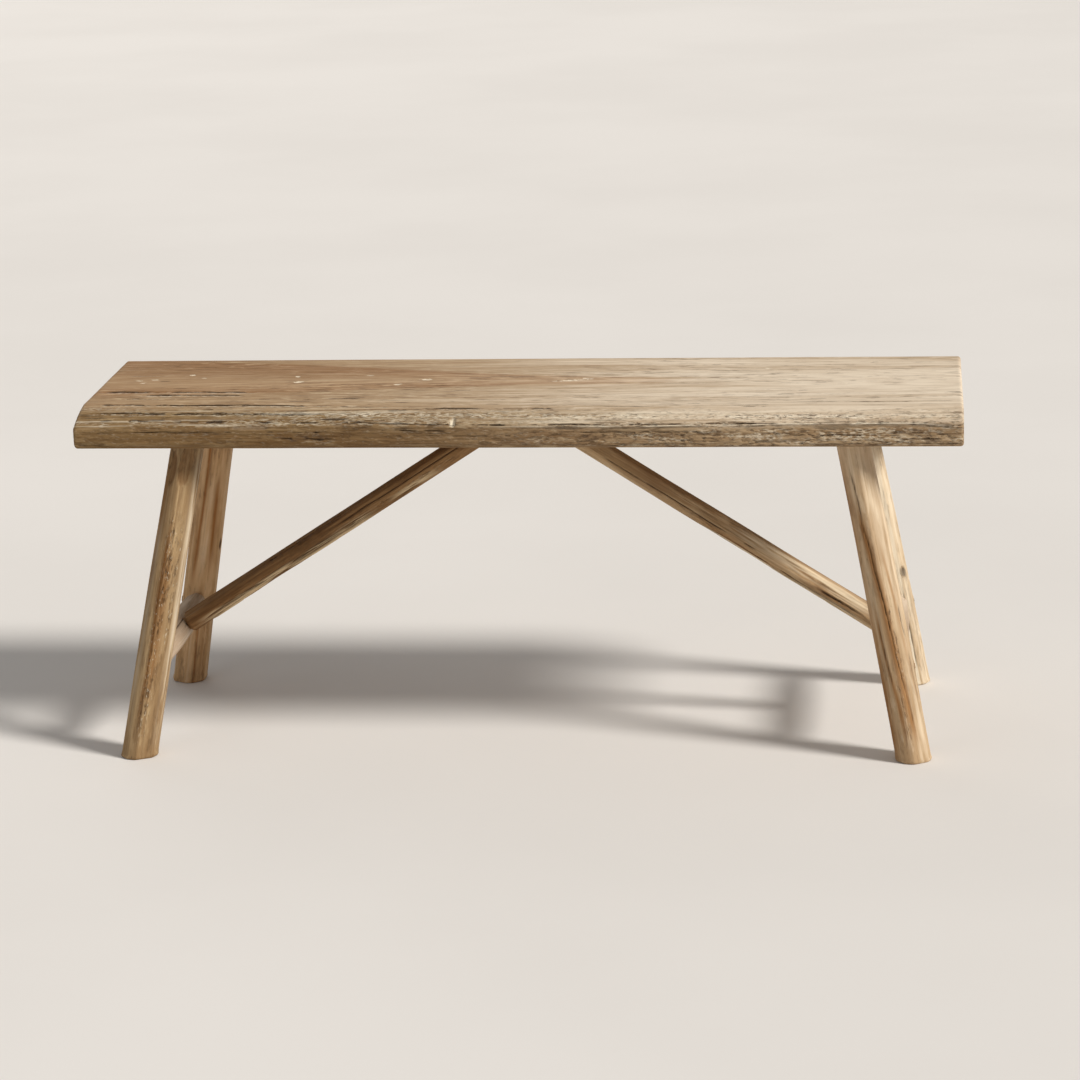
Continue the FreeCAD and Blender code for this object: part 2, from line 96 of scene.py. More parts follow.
# Smooth lattice noise on arrays, the same on every run
def lattice(i, j, k, seed):
    code = i.astype(np.uint32) * np.uint32(73856093)
    code ^= j.astype(np.uint32) * np.uint32(19349663)
    code ^= k.astype(np.uint32) * np.uint32(83492791)
    code ^= np.uint32(seed * 7919 + 17)
    for shift in (13, 7, 17):
        code ^= code >> np.uint32(shift)
        code *= np.uint32(1540483477)
    code ^= code >> np.uint32(15)
    return code.astype(np.float64) / 2147483648.0 - 1.0


def noise(x, y, z, seed=0):
    """Value noise from -1 to 1."""
    x, y, z = np.broadcast_arrays(x, y, z)
    cell = [np.floor(axis).astype(np.int64) for axis in (x, y, z)]
    part = [axis - base for axis, base in zip((x, y, z), cell)]
    ease = [t * t * (3 - 2 * t) for t in part]
    total = 0.0
    for corner in range(8):
        step = [(corner >> bit) & 1 for bit in range(3)]
        weight = 1.0
        for t, s in zip(ease, step):
            weight = weight * (t if s else 1 - t)
        total = total + weight * lattice(*[c + s for c, s in zip(cell, step)], seed)
    return total


def fractal(x, y, z, seed=0, octaves=3):
    total = 0.0
    size = 1.0
    for octave in range(octaves):
        scale = 2.0 ** octave
        total = total + size * noise(x * scale, y * scale, z * scale, seed + octave)
        size *= 0.5
    return total / 1.6


def ramp(value, low, high):
    """Smooth step from 0 at low to 1 at high."""
    t = np.clip((value - low) / (high - low), 0.0, 1.0)
    return t * t * (3 - 2 * t)


def groove(distance, half_width):
    """Depth profile of a narrow split: 1 in the middle, 0 outside."""
    return np.clip(1.0 - (np.abs(distance) / half_width) ** 1.5, 0.0, 1.0)


def along_span(position, start, end, taper):
    return ramp(position, start, start + taper) * (1 - ramp(position, end - taper, end))


def part_open(position, seed, length, share):
    """1 where a split stands open and 0 where the fibres still close it."""
    return ramp(noise(position / length, seed * 0.71, 0.2, 55), 0.35 - 1.1 * share, 0.75 - 1.1 * share)


def through_three(x, values):
    """A smooth curve through values at the left end, the middle and the right end."""
    s = x / END
    left, middle, right = values
    return middle + s * (right - left) / 2 + s * s * ((right + left) / 2 - middle)


# Mesh building
def new_piece(name, points, faces, masks, matrix=None):
    """A mesh object from millimetre points, with a float mask per named attribute.

    The points stay with the mesh as grain coordinates when a matrix moves it into place."""
    local = np.asarray(points) * MM
    world = local
    if matrix is not None:
        turn = np.array(matrix.to_3x3())
        world = local @ turn.T + np.array(matrix.translation)
    mesh = bpy.data.meshes.new(name)
    mesh.from_pydata(world.tolist(), [], faces)
    grain = mesh.attributes.new("grain", "FLOAT_VECTOR", "POINT")
    grain.data.foreach_set("vector", local.astype(np.float32).ravel())
    for label, values in masks.items():
        attribute = mesh.attributes.new(label, "FLOAT", "POINT")
        attribute.data.foreach_set("value", np.asarray(values, dtype=np.float32))
    mesh.polygons.foreach_set("use_smooth", np.ones(len(mesh.polygons), dtype=bool))
    mesh.update()
    piece = bpy.data.objects.new(name, mesh)
    bpy.context.scene.collection.objects.link(piece)
    return piece


def dress(piece, material, slot, *nodes):
    piece.data.materials.clear()
    piece.data.materials.append(material)
    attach(piece, "root")
    if nodes:
        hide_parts(*nodes)


def ring_faces(first, second, flip=False):
    """Quads between two closed rings of point numbers."""
    count = len(first)
    faces = []
    for column in range(count):
        right = (column + 1) % count
        quad = (int(first[column]), int(first[right]), int(second[right]), int(second[column]))
        faces.append(quad[::-1] if flip else quad)
    return faces


class Surface:
    """How far each point of a piece has sunk, and the masks that colour it."""

    def __init__(self, shape, labels):
        self.sink = np.zeros(shape)
        self.masks = {label: np.zeros(shape) for label in labels}

    def mark(self, label, values):
        self.masks[label] = np.maximum(self.masks[label], values)


# The plank. Its section is a loop: the top, the waney slope, the nose, the
# front face, the underside and the back. Lengths are in millimetres.

# Stations along the plank, points round its section, and rings on a sawn end
STATIONS = 720
TOP_POINTS = 176
SLOPE_POINTS = 52
NOSE_POINTS = 14
FACE_POINTS = 24
UNDERSIDE_POINTS = 64
BACK_POINTS = 18
CAP_RINGS = 20
PLANK_MASKS = ("split", "pale", "worn", "knot", "rough", "dashes", "flecked", "sawn")

# At the left end, the middle and the right end: the slope's run and drop, the
# round of the lower edge, and the height of the nose's crest
WANE_RUN = (68.0, 48.0, 36.0)
WANE_DROP = (23.0, 19.0, 17.0)
LOWER_ROUND = (9.0, 6.5, 5.0)
CREST = (445.4, 443.2, 442.3)

# Splits on the top and slope: start, end, y at each, half width, depth, open share
TOP_SPLITS = [
    (-560, -340, -30, -36, 3.0, 2.0, 0.75),
    (-505, -345, -50, -55, 3.2, 2.2, 0.85),
    (-530, -250, -72, -80, 1.4, 1.4, 0.5),
    (-552, -232, -104, -116, 1.6, 1.9, 0.85),
    (-250, -120, -117, -124, 1.2, 1.2, 0.4),
    (-132, 64, -126, -131, 1.5, 1.8, 0.58),
    (-552, -225, -130, -140, 1.9, 2.5, 0.9),
    (-470, -300, -121, -126, 1.2, 1.2, 0.4),
    (-210, -110, -84, -86, 1.1, 1.0, 0.4),
    (-120, -40, -32, -33, 1.2, 1.2, 0.45),
    (120, 300, -96, -99, 1.1, 0.9, 0.36),
    (180, 330, -122, -125, 1.2, 1.1, 0.4),
    (250, 420, -38, -40, 1.1, 0.9, 0.34),
    (380, 548, -70, -72, 1.1, 0.9, 0.34),
    (140, 340, 4, 6, 1.2, 1.0, 0.4),
    (-560, -440, 64, 66, 1.2, 1.1, 0.45),
    (-330, -180, 118, 117, 1.1, 0.9, 0.36),
    (300, 556, 62, 60, 1.1, 0.9, 0.34),
    (420, 558, 128, 127, 1.1, 1.0, 0.36),
]
# Splits on the nose and the front face: start, end, height at each, half width, depth, open share
FACE_SPLITS = [
    (-545, -225, 439.3, 438.0, 1.3, 1.7, 0.6),
    (-240, 10, 438.0, 434.9, 1.3, 1.6, 0.52),
    (0, 352, 434.9, 435.2, 1.2, 1.5, 0.5),
    (-555, -225, 426.6, 425.6, 1.2, 1.3, 0.55),
    (-310, -215, 418.2, 416.4, 1.7, 1.6, 0.8),
    (-200, -60, 428.0, 427.0, 1.1, 1.2, 0.45),
    (-160, 60, 421.0, 420.0, 1.1, 1.1, 0.42),
    (60, 300, 424.5, 423.5, 1.2, 1.3, 0.5),
    (250, 480, 419.0, 420.0, 1.2, 1.2, 0.45),
    (470, 556, 415.0, 414.0, 1.3, 1.3, 0.5),
]
# Small bruises on the top where pale wood has torn out: x, y, length, width, depth, slant
BRUISES = [
    (-450, 69, 4.5, 3.4, 1.1, 0.0),
    (-430, 50, 4.0, 3.2, 1.0, 0.0),
    (-308, 57, 4.0, 3.4, 1.0, 0.0),
    (-301, 24, 8.5, 4.4, 1.4, 0.25),
    (-169, 7, 7.0, 3.8, 1.2, 0.0),
    (-133, 36, 8.0, 3.8, 1.3, 0.1),
    (58, 26, 22.0, 3.6, 1.5, 0.2),
    (78, 36, 8.0, 3.0, 1.2, -0.3),
    (310, 92, 5.0, 3.0, 0.7, 0.0),
    (-516, 36, 5.0, 3.4, 0.5, 0.0),
    (-507, 22, 4.5, 3.0, 0.6, 0.3),
    (-494, 41, 5.0, 3.0, 0.5, 0.0),
    (-212, 62, 4.0, 3.0, 0.6, 0.0),
]
# Bites out of the waney edge: x, height, length, tall, depth, how pale inside
BITES = [
    (-76, 436, 5, 6, 3.4, 1.0),
    (265, 435, 24, 3.4, 2.6, 0.0),
    (-330, 432, 30, 3, 1.4, 0.1),
    (-468, 431, 22, 3, 1.5, 0.0),
    (60, 430, 36, 3, 1.6, 0.1),
    (398, 428, 26, 3, 1.5, 0.1),
    (530, 431, 20, 3, 2.0, 0.1),
    (-540, 410, 22, 4, 2.0, 0.0),
    (330, 411, 34, 3, 1.4, 0.1),
]
# Dark weathered patches on the front face: x, height, length, tall
PATCHES = [
    (-262, 419, 42, 6),
    (-385, 425, 30, 4),
    (97, 415, 20, 7),
    (250, 423, 34, 5),
    (488, 424, 30, 5),
    (522, 414, 34, 5),
    (-548, 408, 14, 4),
]
# Drying checks in the sawn ends: distance from the middle, lowest and highest point, slant
END_CHECKS = [
    (-104, 431, 452, 0.3), (-63, 438, 452, -0.2), (-21, 428, 452, 0.1), (22, 441, 452, 0.25),
    (64, 427, 452, -0.15), (118, 434, 452, 0.3),
]


def wane_curve(run, drop):
    """Points (y, z) from the top down the slope and round the nose to the upright front."""
    sine, cosine = math.sin(WANE_DIP), math.cos(WANE_DIP)
    over = run - NOSE
    sweep = (over ** 2 + drop ** 2 - NOSE ** 2) / (2 * (drop * cosine - over * sine - NOSE))
    centre_y = FRONT + run + sweep * sine
    centre_z = TOP - sweep * cosine
    meeting = math.atan2(TOP - drop - centre_z, FRONT + NOSE - centre_y)
    slope = np.linspace(math.pi / 2 + WANE_DIP, meeting, SLOPE_POINTS)
    nose = np.linspace(meeting, math.pi, NOSE_POINTS)[1:]
    y = np.concatenate([centre_y + sweep * np.cos(slope), FRONT + NOSE + NOSE * np.cos(nose)])
    z = np.concatenate([centre_z + sweep * np.sin(slope), TOP - drop + NOSE * np.sin(nose)])
    return y, z


def plank_section(x):
    """Loop of (y, z) at one station, from the back top corner round by the front."""
    run = through_three(x, WANE_RUN)
    drop = through_three(x, WANE_DROP)
    low = through_three(x, LOWER_ROUND)
    quarter = np.linspace(0, math.pi / 2, 9)[1:]
    small = np.linspace(0, math.pi / 2, 5)[1:]
    flat_y = np.linspace(BACK - ARRIS, FRONT + run, TOP_POINTS)[:-1]
    wane_y, wane_z = wane_curve(run, drop)
    face_z = np.linspace(TOP - drop, UNDERSIDE + low, FACE_POINTS)[1:]
    under_y = np.linspace(FRONT + low, BACK - ARRIS, UNDERSIDE_POINTS)[1:]
    rear_z = np.linspace(UNDERSIDE + ARRIS, TOP - ARRIS, BACK_POINTS)[1:]
    parts = [
        (flat_y, np.full(len(flat_y), TOP)),
        (wane_y, wane_z),
        (np.full(len(face_z), FRONT), face_z),
        (FRONT + low - low * np.cos(quarter), UNDERSIDE + low - low * np.sin(quarter)),
        (under_y, np.full(len(under_y), UNDERSIDE)),
        (BACK - ARRIS + ARRIS * np.sin(small), UNDERSIDE + ARRIS - ARRIS * np.cos(small)),
        (np.full(len(rear_z), BACK), rear_z),
        (BACK - ARRIS + ARRIS * np.cos(small[:-1]), TOP - ARRIS + ARRIS * np.sin(small[:-1])),
    ]
    return np.concatenate([part[0] for part in parts]), np.concatenate([part[1] for part in parts])


def section_normals(y, z):
    """Outward direction in the section, for rows of loops."""
    dy = np.roll(y, -1, axis=1) - np.roll(y, 1, axis=1)
    dz = np.roll(z, -1, axis=1) - np.roll(z, 1, axis=1)
    size = np.hypot(dy, dz)
    ny, nz = -dz / size, dy / size
    outward = np.sign(np.mean(ny * y + nz * (z - (TOP + UNDERSIDE) / 2)))
    return ny * outward, nz * outward


class PlankSurface(Surface):
    """Points of the plank, which part of it each lies on, how it has weathered and where light and shade are
    painted on it.
    """

    def __init__(self, x, y, z):
        super().__init__(x.shape, PLANK_MASKS)
        self.x, self.y, self.z = x, y, z
        self.ny, self.nz = section_normals(y, z)
        self.run = through_three(x, WANE_RUN)
        self.on_top = self.nz > 0.3
        self.on_front = self.ny < -0.25
        self.off_underside = z > UNDERSIDE + 3
        self.wane = ramp(FRONT + self.run - y, 0.0, 30.0) * self.off_underside
        self.face = ramp(-self.ny, 0.55, 0.95)
        self.slope = self.wane * (1 - self.face)
        self.rightward = ramp(x, -120, 240)

    def weather(self):
        self.furrow()
        self.fleck_crest()
        smooth = self.cut_ledge()
        self.tear_face(smooth)
        self.open_grain()
        for row in TOP_SPLITS:
            self.split(row, self.y, self.on_top, 26.0, 2.5)
        for row in FACE_SPLITS:
            self.split(row, self.z, self.on_front, 20.0, 1.5)
        for row in BRUISES:
            self.bruise(*row)
        for row in BITES:
            self.bite(*row)
        for row in PATCHES:
            self.blacken(*row)
        self.shade_lower_edge()
        self.grow_knot()
        self.sink = np.maximum(self.sink, 0.0)
        self.masks["pale"] = np.clip(self.masks["pale"], 0, 1)

    def furrow(self):
        """Broad hollows, then furrows along the grain."""
        x, y, z = self.x, self.y, self.z
        self.sink += 0.35 + 0.35 * fractal(x / 170, y / 60, z / 60, 3, 2)
        furrows = fractal(x / 120, y / 5.0, z / 4.0, 11, 3)
        self.sink += (0.10 + 0.42 * self.wane) * (0.6 + furrows)
        strips = fractal(x / 75, y / 3.2, z / 2.4, 15, 3)
        self.sink += 0.5 * self.wane * ramp(strips, 0.1, -0.5)
        self.mark("pale", 0.42 * self.slope * ramp(strips, 0.16, 0.5))

    def fleck_crest(self):
        """The crest of the nose, where weather has left lime-white flecks between dark ones."""
        x, z = self.x, self.z
        crest = through_three(x, CREST) + 0.8 * fractal(x / 60, 0.4, 0.9, 25, 2)
        strip = np.exp(-((z - crest) / 2.1) ** 2) * (self.ny < -0.08) * ramp(x, -470, -150)
        strip = strip * (0.55 + 0.45 * ramp(noise(x / 38, 0.2, 0.6, 31), -0.5, 0.2))
        self.sink += strip * (0.35 + 0.5 * noise(x / 4.5, z / 1.2, 0.3, 27))
        self.mark("flecked", strip)

    def cut_ledge(self):
        """A ledge under the nose, from the middle to the right end, with a painted highlight along its rim
        and a painted shadow under it. Returns the smooth strip below it.
        """
        x, z = self.x, self.z
        ledge = 431.2 + 2.8 * ramp(x, 50, 480) - 6.0 * ramp(x, 500, 558)
        ledge = ledge + 1.1 * fractal(x / 42, 0.3, 0.8, 37, 3)
        strength = ramp(x, -60, 90) * (0.55 + 0.45 * ramp(noise(x / 60, 0.1, 0.4, 39), -0.5, 0.2))
        below = ramp(ledge - z, -0.5, 0.7) * self.on_front * self.off_underside
        self.sink += 1.7 * below * strength
        # Painted highlight along the rim of the ledge
        rim = np.exp(-((z - ledge - 0.9) / 0.9) ** 2) * self.on_front * strength
        self.mark("pale", rim * ramp(noise(x / 16, 0.5, 0.1, 43), -0.5, 0.1))
        # Painted shadow just under the ledge, put in the split mask
        shade = np.exp(-((z - ledge + 0.9) / 0.9) ** 2) * self.on_front * strength
        self.mark("split", 0.55 * shade * ramp(noise(x / 11, 0.7, 0.6, 45), -0.2, 0.4))
        return np.exp(-((z - ledge + 3.5) / 2.6) ** 2) * strength

    def tear_face(self, smooth):
        """Torn, pitted fibres on the face, and flecks on the slope."""
        x, y, z = self.x, self.y, self.z
        coarse = self.face * (0.35 + 0.65 * self.rightward) * (1 - 0.85 * smooth)
        pits = ramp(fractal(x / 8, y / 3.0, z / 2.0, 41, 3), 0.14, 0.5)
        self.sink += coarse * pits * 1.1
        self.mark("worn", coarse * pits * 0.3)
        self.mark("rough", np.clip(coarse + 0.35 * self.slope + 0.04, 0, 1))
        on_face = ramp(noise(x / 40, z / 5, 0.9, 33), -0.4, 0.4)
        self.mark("flecked", 0.5 * coarse * self.rightward * on_face)
        on_slope = ramp(noise(x / 60, y / 9, 0.4, 35), -0.2, 0.5)
        self.mark("flecked", 0.4 * self.slope * on_slope)

    def open_grain(self):
        """Faint rows of open grain, thickest on the front half of the left end."""
        x, y = self.x, self.y
        crowd = ramp(y, 10, -40) * ramp(x, 60, -330) + 0.45 * ramp(y, -60, -110) + 0.2
        rows = ramp(noise(x / 75, y / 3.6, 0.5, 57), 0.2, 0.62)
        rows = rows * ramp(noise(x / 190, y / 22, 0.2, 59), -0.5, 0.3)
        self.mark("dashes", 0.8 * np.clip(crowd, 0, 1) ** 0.25 * rows * self.on_top * (1 - self.face))

    def split(self, row, across, where, length, reach):
        """A broken split with dark rows round it and a pale lip along one side."""
        start, end, first, last, half, depth, share = row
        x = self.x
        line = first + (last - first) * (x - start) / (end - start)
        line = line + 1.5 * fractal(x / 70, first * 0.37, 0.5, 51, 3)
        line = line + 0.5 * half * noise(x / 13, first * 0.53, 0.7, 53)
        off = across - line
        wide = half * (0.6 + 0.7 * ramp(noise(x / 17, first * 0.29, 0.3, 65), -0.6, 0.6))
        span = along_span(x, start, end, 26.0) * where
        broken = part_open(x, first, length, share) * part_open(x, first + 3, 6.0, 0.72)
        cut = groove(off, wide) * span * broken
        self.sink += depth * cut
        self.mark("split", 0.7 * cut * ramp(FRONT + self.run + 60 - self.y, 0, 60))
        ajar = part_open(x, first + 7, length, share + 0.15)
        strength = 0.5 + 0.38 * min(depth / 2, 1)
        near = np.exp(-(off / (reach * wide)) ** 2) * span
        self.mark("dashes", strength * near * (0.6 + 0.4 * ajar))
        lip = np.exp(-((off + 2.0 * wide) / (1.2 * wide)) ** 2) * span * ajar
        self.mark("flecked", min(depth / 3.6, 0.6) * lip * (1 - 0.7 * self.face))

    def bruise(self, at_x, at_y, length, width, depth, slant):
        x, y = self.x, self.y
        away = np.hypot((x - at_x) / length, (y - at_y - slant * (x - at_x)) / width)
        away = away + 0.75 * fractal(x / 3.4, y / 2.6, at_x, 63, 2)
        hollow = np.clip(1 - away ** 2, 0, 1) * self.on_top
        self.sink += depth * hollow
        self.mark("pale", 1.15 * min(depth, 1.0) * ramp(hollow, 0.05, 0.5))

    def bite(self, at_x, at_z, length, tall, depth, bright):
        x, z = self.x, self.z
        away = np.hypot((x - at_x) / length, (z - at_z) / tall)
        ragged = 0.3 * fractal(x / 9, z / 4, at_x, 61, 2)
        hollow = ramp(1 - away - ragged, 0.0, 0.35) * self.on_front
        self.sink += depth * hollow
        self.mark("pale", hollow * bright)
        self.mark("worn", 0.35 * hollow * (1 - bright))

    def blacken(self, at_x, at_z, length, tall):
        x, z = self.x, self.z
        away = np.hypot((x - at_x) / length, (z - at_z) / tall)
        blot = ramp(1.1 - away + 0.9 * fractal(x / 14, z / 3, at_x, 67, 3), 0.3, 0.8)
        self.mark("worn", blot * self.face)

    def shade_lower_edge(self):
        """Painted shade along the lower front edge, in patches towards the right; the edge wanders a little.
        """
        edge = ramp(UNDERSIDE + 6 - self.z, 0, 4) * ramp(-self.ny, 0.2, 0.6)
        self.sink += edge * 0.9 * (1 + noise(self.x / 45, 0.3, 0.2, 47))
        # Painted shade, patchy and stronger to the right, in the worn mask
        patchy = ramp(noise(self.x / 30, 0.8, 0.1, 49), -0.4, 0.3)
        self.mark("worn", 0.8 * edge * self.rightward * patchy)

    def grow_knot(self):
        """A small tight knot near the left end."""
        x, y = self.x, self.y
        away = np.hypot((x + 480) / 10, (y - 33) / 4.5) + 0.25 * fractal(x / 8, y / 5, 1.0, 71, 2)
        self.sink += 0.7 * ramp(1 - away, 0.3, 0.8) * self.on_top
        self.mark("knot", 0.8 * ramp(1 - away, 0.0, 0.6) * self.on_top)


def end_cap(y, z, side):
    """Rings from the rim of a sawn end to a line in its middle, each with its drying checks."""
    middle = (TOP + UNDERSIDE) / 2
    core_y = np.clip(y, FRONT + 22, BACK - 22)
    for share in np.linspace(0, 1, CAP_RINGS + 1)[1:]:
        cap_y = y + (core_y - y) * share
        cap_z = z + (middle - z) * share
        saw = 0.3 * (1 + noise(cap_y / 9, cap_z / 1.6, side, 81))
        check = np.zeros(len(y))
        for at_y, low, high, slant in END_CHECKS:
            line = side * at_y + slant * (cap_z - middle) + 2.0 * noise(cap_z / 9, at_y, side, 83)
            check = np.maximum(check, groove(cap_y - line, 1.3) * along_span(cap_z, low, high, 5.0))
        yield np.stack([side * (END - saw - 1.6 * check), cap_y, cap_z], axis=1), check


def build_plank():
    inner = np.linspace(-END + 5, END - 5, STATIONS)
    ease = np.array([0.0, 0.35, 1.0, 2.0, 3.4])
    stations = np.concatenate([-END + ease, inner, END - ease[::-1]])
    loops = [plank_section(x) for x in stations]
    y = np.array([loop[0] for loop in loops])
    z = np.array([loop[1] for loop in loops])
    x = np.repeat(stations[:, None], y.shape[1], axis=1)
    plank = PlankSurface(x, y, z)
    plank.weather()

    # The ends are sawn, with eased arrises
    past = np.maximum(ARRIS - (END - np.abs(x)), 0.0)
    sink = plank.sink + ARRIS - np.sqrt(np.maximum(ARRIS ** 2 - past ** 2, 0.0))
    y = y - plank.ny * sink
    z = z - plank.nz * sink

    rows, columns = x.shape
    numbers = np.arange(rows * columns).reshape(rows, columns)
    points = [np.stack([x, y, z], axis=2).reshape(-1, 3)]
    masks = {label: [values.ravel()] for label, values in plank.masks.items()}
    faces = []
    for row in range(rows - 1):
        faces += ring_faces(numbers[row], numbers[row + 1])
    count = rows * columns
    for row, side in ((0, -1), (rows - 1, 1)):
        previous = numbers[row]
        for ring, check in end_cap(y[row], z[row], side):
            points.append(ring)
            caps = {"split": check, "sawn": np.ones(columns)}
            for label, values in masks.items():
                values.append(caps.get(label, np.zeros(columns)))
            current = count + np.arange(columns)
            count += columns
            faces += ring_faces(previous, current, flip=side < 0)
            previous = current
    masks = {label: np.concatenate(values) for label, values in masks.items()}
    return new_piece("plank", np.concatenate(points), faces, masks)


# Shaved poles. Each is a stack of rings along its own axis, with unequal flats,
# splits along the grain and knots. The rings of the legs and of the brace heads
# are sheared to the level. Rings up to TENON_LIMIT in radius stay unweathered.
FACETS = 9
FLAT_UNEVENNESS = 0.24
FLAT_RHYTHM = 2.3
SEGMENTS = 126
RING_STEP = 2.4
CAP_SHARES = (0.2, 0.4, 0.6, 0.8)
TENON_LIMIT = 12.0
DRILL_SIDES = 28
POLE_MASKS = ("split", "pale", "worn", "knot", "rough", "stain_and_shade")


def flat_outline(angle, turn):
    """The shaved outline as a share of the full radius, and the number of each point's flat."""
    corners = []
    for index in range(FACETS + 1):
        step = index % FACETS
        uneven = FLAT_UNEVENNESS * math.sin(FLAT_RHYTHM * step + turn)
        corners.append(2 * math.pi * (index + uneven) / FACETS + math.radians(turn))
    share = np.full(angle.shape, 2.0)
    flat = np.zeros(angle.shape, dtype=int)
    for index, (first, second) in enumerate(zip(corners, corners[1:])):
        swing = np.cos(angle - (first + second) / 2)
        reach = np.where(swing > 0.5, math.cos((second - first) / 2) / np.maximum(swing, 0.5), 2.0)
        flat = np.where(reach < share, index, flat)
        share = np.minimum(share, reach)
    return share, flat


def around(angle, at):
    """Turn from one direction to another, the short way."""
    return (angle - at + math.pi) % (2 * math.pi) - math.pi


def pole_stations(profile):
    """Distances along and radii, as columns, from (distance along, radius) pairs."""
    along = [profile[0][0]]
    radius = [profile[0][1]]
    for (t0, r0), (t1, r1) in zip(profile, profile[1:]):
        steps = max(1, int(round(abs(t1 - t0) / RING_STEP)))
        for step in range(1, steps + 1):
            along.append(t0 + (t1 - t0) * step / steps)
            radius.append(r0 + (r1 - r0) * step / steps)
    return np.array(along)[:, None], np.array(radius)[:, None]


class PoleSurface(Surface):
    """Rings of a pole that is shaved into unequal flats, how it has weathered, and where light and shade are
    painted on it.

    A mark's place is an angle round the pole and a distance along it."""

    def __init__(self, profile, seed, turn, crisp):
        self.seed = seed
        self.along, self.radius = pole_stations(profile)
        self.thick = self.radius > TENON_LIMIT
        self.angle = np.arange(SEGMENTS) * 2 * math.pi / SEGMENTS
        share, flat = flat_outline(self.angle[None, :], turn)
        self.full = share * self.radius
        super().__init__(self.full.shape, POLE_MASKS)
        self.turned = np.broadcast_to(self.angle, self.full.shape)
        start, end = self.along.min(), self.along.max()
        body = along_span(self.along, start + 1, end - 1, 7.0) * self.thick

        # Flats run out and back along the pole, as a drawknife leaves them
        stroke = noise(flat * 5.3, self.along / 80, seed, seed)
        stroke = stroke + 0.4 * noise(flat * 3.7, self.along / 30, 0.5, seed)
        reach = self.radius * (crisp * share + (1 - crisp) * (0.3 + 0.7 * share))
        reach = reach - 0.32 * (1 + stroke) * body
        for _ in range(2 if crisp > 0.8 else 4):
            reach = (np.roll(reach, 1, axis=1) + 2 * reach + np.roll(reach, -1, axis=1)) / 4
        self.reach = reach
        self.px = reach * np.cos(self.angle)
        self.py = reach * np.sin(self.angle)
        self.sink += 0.12 * (1 + self.fibre(3.4, 90, 3)) * body
        self.sink += 0.35 * (1 + self.fibre(16, 110, 5, 2)) * body
        self.mark("rough", 0.04 * body)
        self.mark("worn", 0.5 * ramp(self.fibre(10, 120, 17), 0.25, 0.65) * body)

    def fibre(self, across, along, offset, octaves=3):
        """Noise of the given lengths across and along the pole."""
        return fractal(self.px / across, self.py / across, self.along / along, self.seed + offset, octaves)

    def wander(self, at, sway, length, offset, first=0.0, drift=0.0):
        """Angle of a line up the pole that sways, and drifts by so much in 100 mm."""
        line = at + drift * (self.along - first) / 100
        return line + sway * noise(self.along / length, at, self.seed, self.seed + offset)

    def strip(self, centre, spread, first, last, taper):
        """A soft strip up the pole."""
        across = np.exp(-(around(self.turned, centre) / spread) ** 2)
        return across * along_span(self.along, first, last, taper)

    def split(self, at, first, last, half, depth, drift):
        centre = self.wander(at, 0.05, 35, 7, first, drift)
        cut = groove(around(self.turned, centre) * self.radius, half)
        cut = cut * along_span(self.along, first, last, 26.0)
        cut = cut * part_open(self.along, at + self.seed, 30.0, 0.75)
        self.sink += depth * cut
        self.mark("split", cut)

    def knot(self, at, place, size):
        across = around(self.turned, at) * self.radius / size
        away = np.hypot(across, (self.along - place) / (1.35 * size)) + 0.12 * self.fibre(5, 6, 21, 2)
        edge = groove(away - 1.0, 0.14)
        self.sink += 1.5 * ramp(1 - away, 0.3, 0.8) + 0.4 * edge - 0.9 * np.exp(-(away * 0.8) ** 2)
        self.mark("knot", ramp(1.2 - away, 0.0, 0.6))
        self.mark("split", 0.7 * edge)

    def scoop(self, at, place, width, length, depth):
        across = around(self.turned, at) * self.radius / width
        uneven = 0.45 * self.fibre(7, 14, 33, 2)
        hollow = np.clip(1 - across ** 2 - ((self.along - place) / length) ** 2 + uneven, 0, 1)
        self.sink += depth * np.sqrt(hollow)
        edge = np.exp(-((hollow - 0.12) / 0.12) ** 2) * ramp(self.along, place - 0.6 * length, place)
        self.mark("worn", edge)
        self.mark("stain_and_shade", 0.5 * ramp(hollow, 0.0, 0.4))

    def streak(self, at, spread, first, last):
        strip = self.strip(self.wander(at, 0.12, 60, 27), spread, first, last, 50.0)
        speckle = ramp(self.fibre(2.2, 12, 29), 0.05, 0.45)
        self.sink += 0.7 * strip * speckle
        self.mark("rough", strip)
        self.mark("worn", strip * speckle)

    # A dark strip up the pole, used for stains and for painted shade
    def stain_and_shade(self, at, spread, first, last, drift):
        centre = self.wander(at, 0.1, 70, 37, first, drift)
        self.mark("stain_and_shade", self.strip(centre, spread, first, last, 60.0))

    # A pale strip up the pole, used for weathered pale wood and for painted sunlight and highlights
    def bleach_and_light(self, at, spread, first, last, weight):
        ragged = ramp(self.fibre(3, 60, 39), -0.5, 0.3)
        self.mark("pale", weight * self.strip(at, spread, first, last, 50.0) * ragged)

    def tear(self, at, spread, first, last, depth):
        strip = ramp(spread - np.abs(around(self.turned, at)), 0.0, 0.5 * spread)
        strip = strip * along_span(self.along, first, last, 40.0)
        ragged = ramp(self.fibre(2.4, 40, 13), -0.2, 0.35)
        self.sink += depth * strip * ragged
        self.mark("pale", 0.9 * strip * (1 - ragged))
        self.mark("split", 0.6 * strip * ragged)

    def pare(self, at, place, size):
        """Round a peg the surface is pared level with it, a little below its end."""
        away = np.hypot(around(self.turned, at) * self.radius, self.along - place)
        pared = ramp(2.6 * size - away, 0.0, 1.2 * size)
        edge = groove(away - size, 0.9)
        self.reach = self.reach + pared * (self.full - 0.4 - self.reach) - 0.5 * edge
        self.masks["split"] = np.maximum(self.masks["split"] * (1 - pared), 0.9 * edge)


POLE_MARKS = {
    "splits": PoleSurface.split,
    "knots": PoleSurface.knot,
    "scoops": PoleSurface.scoop,
    "streaks": PoleSurface.streak,
    "stains_and_shade": PoleSurface.stain_and_shade,
    "bleached_and_lit": PoleSurface.bleach_and_light,
    "torn": PoleSurface.tear,
}


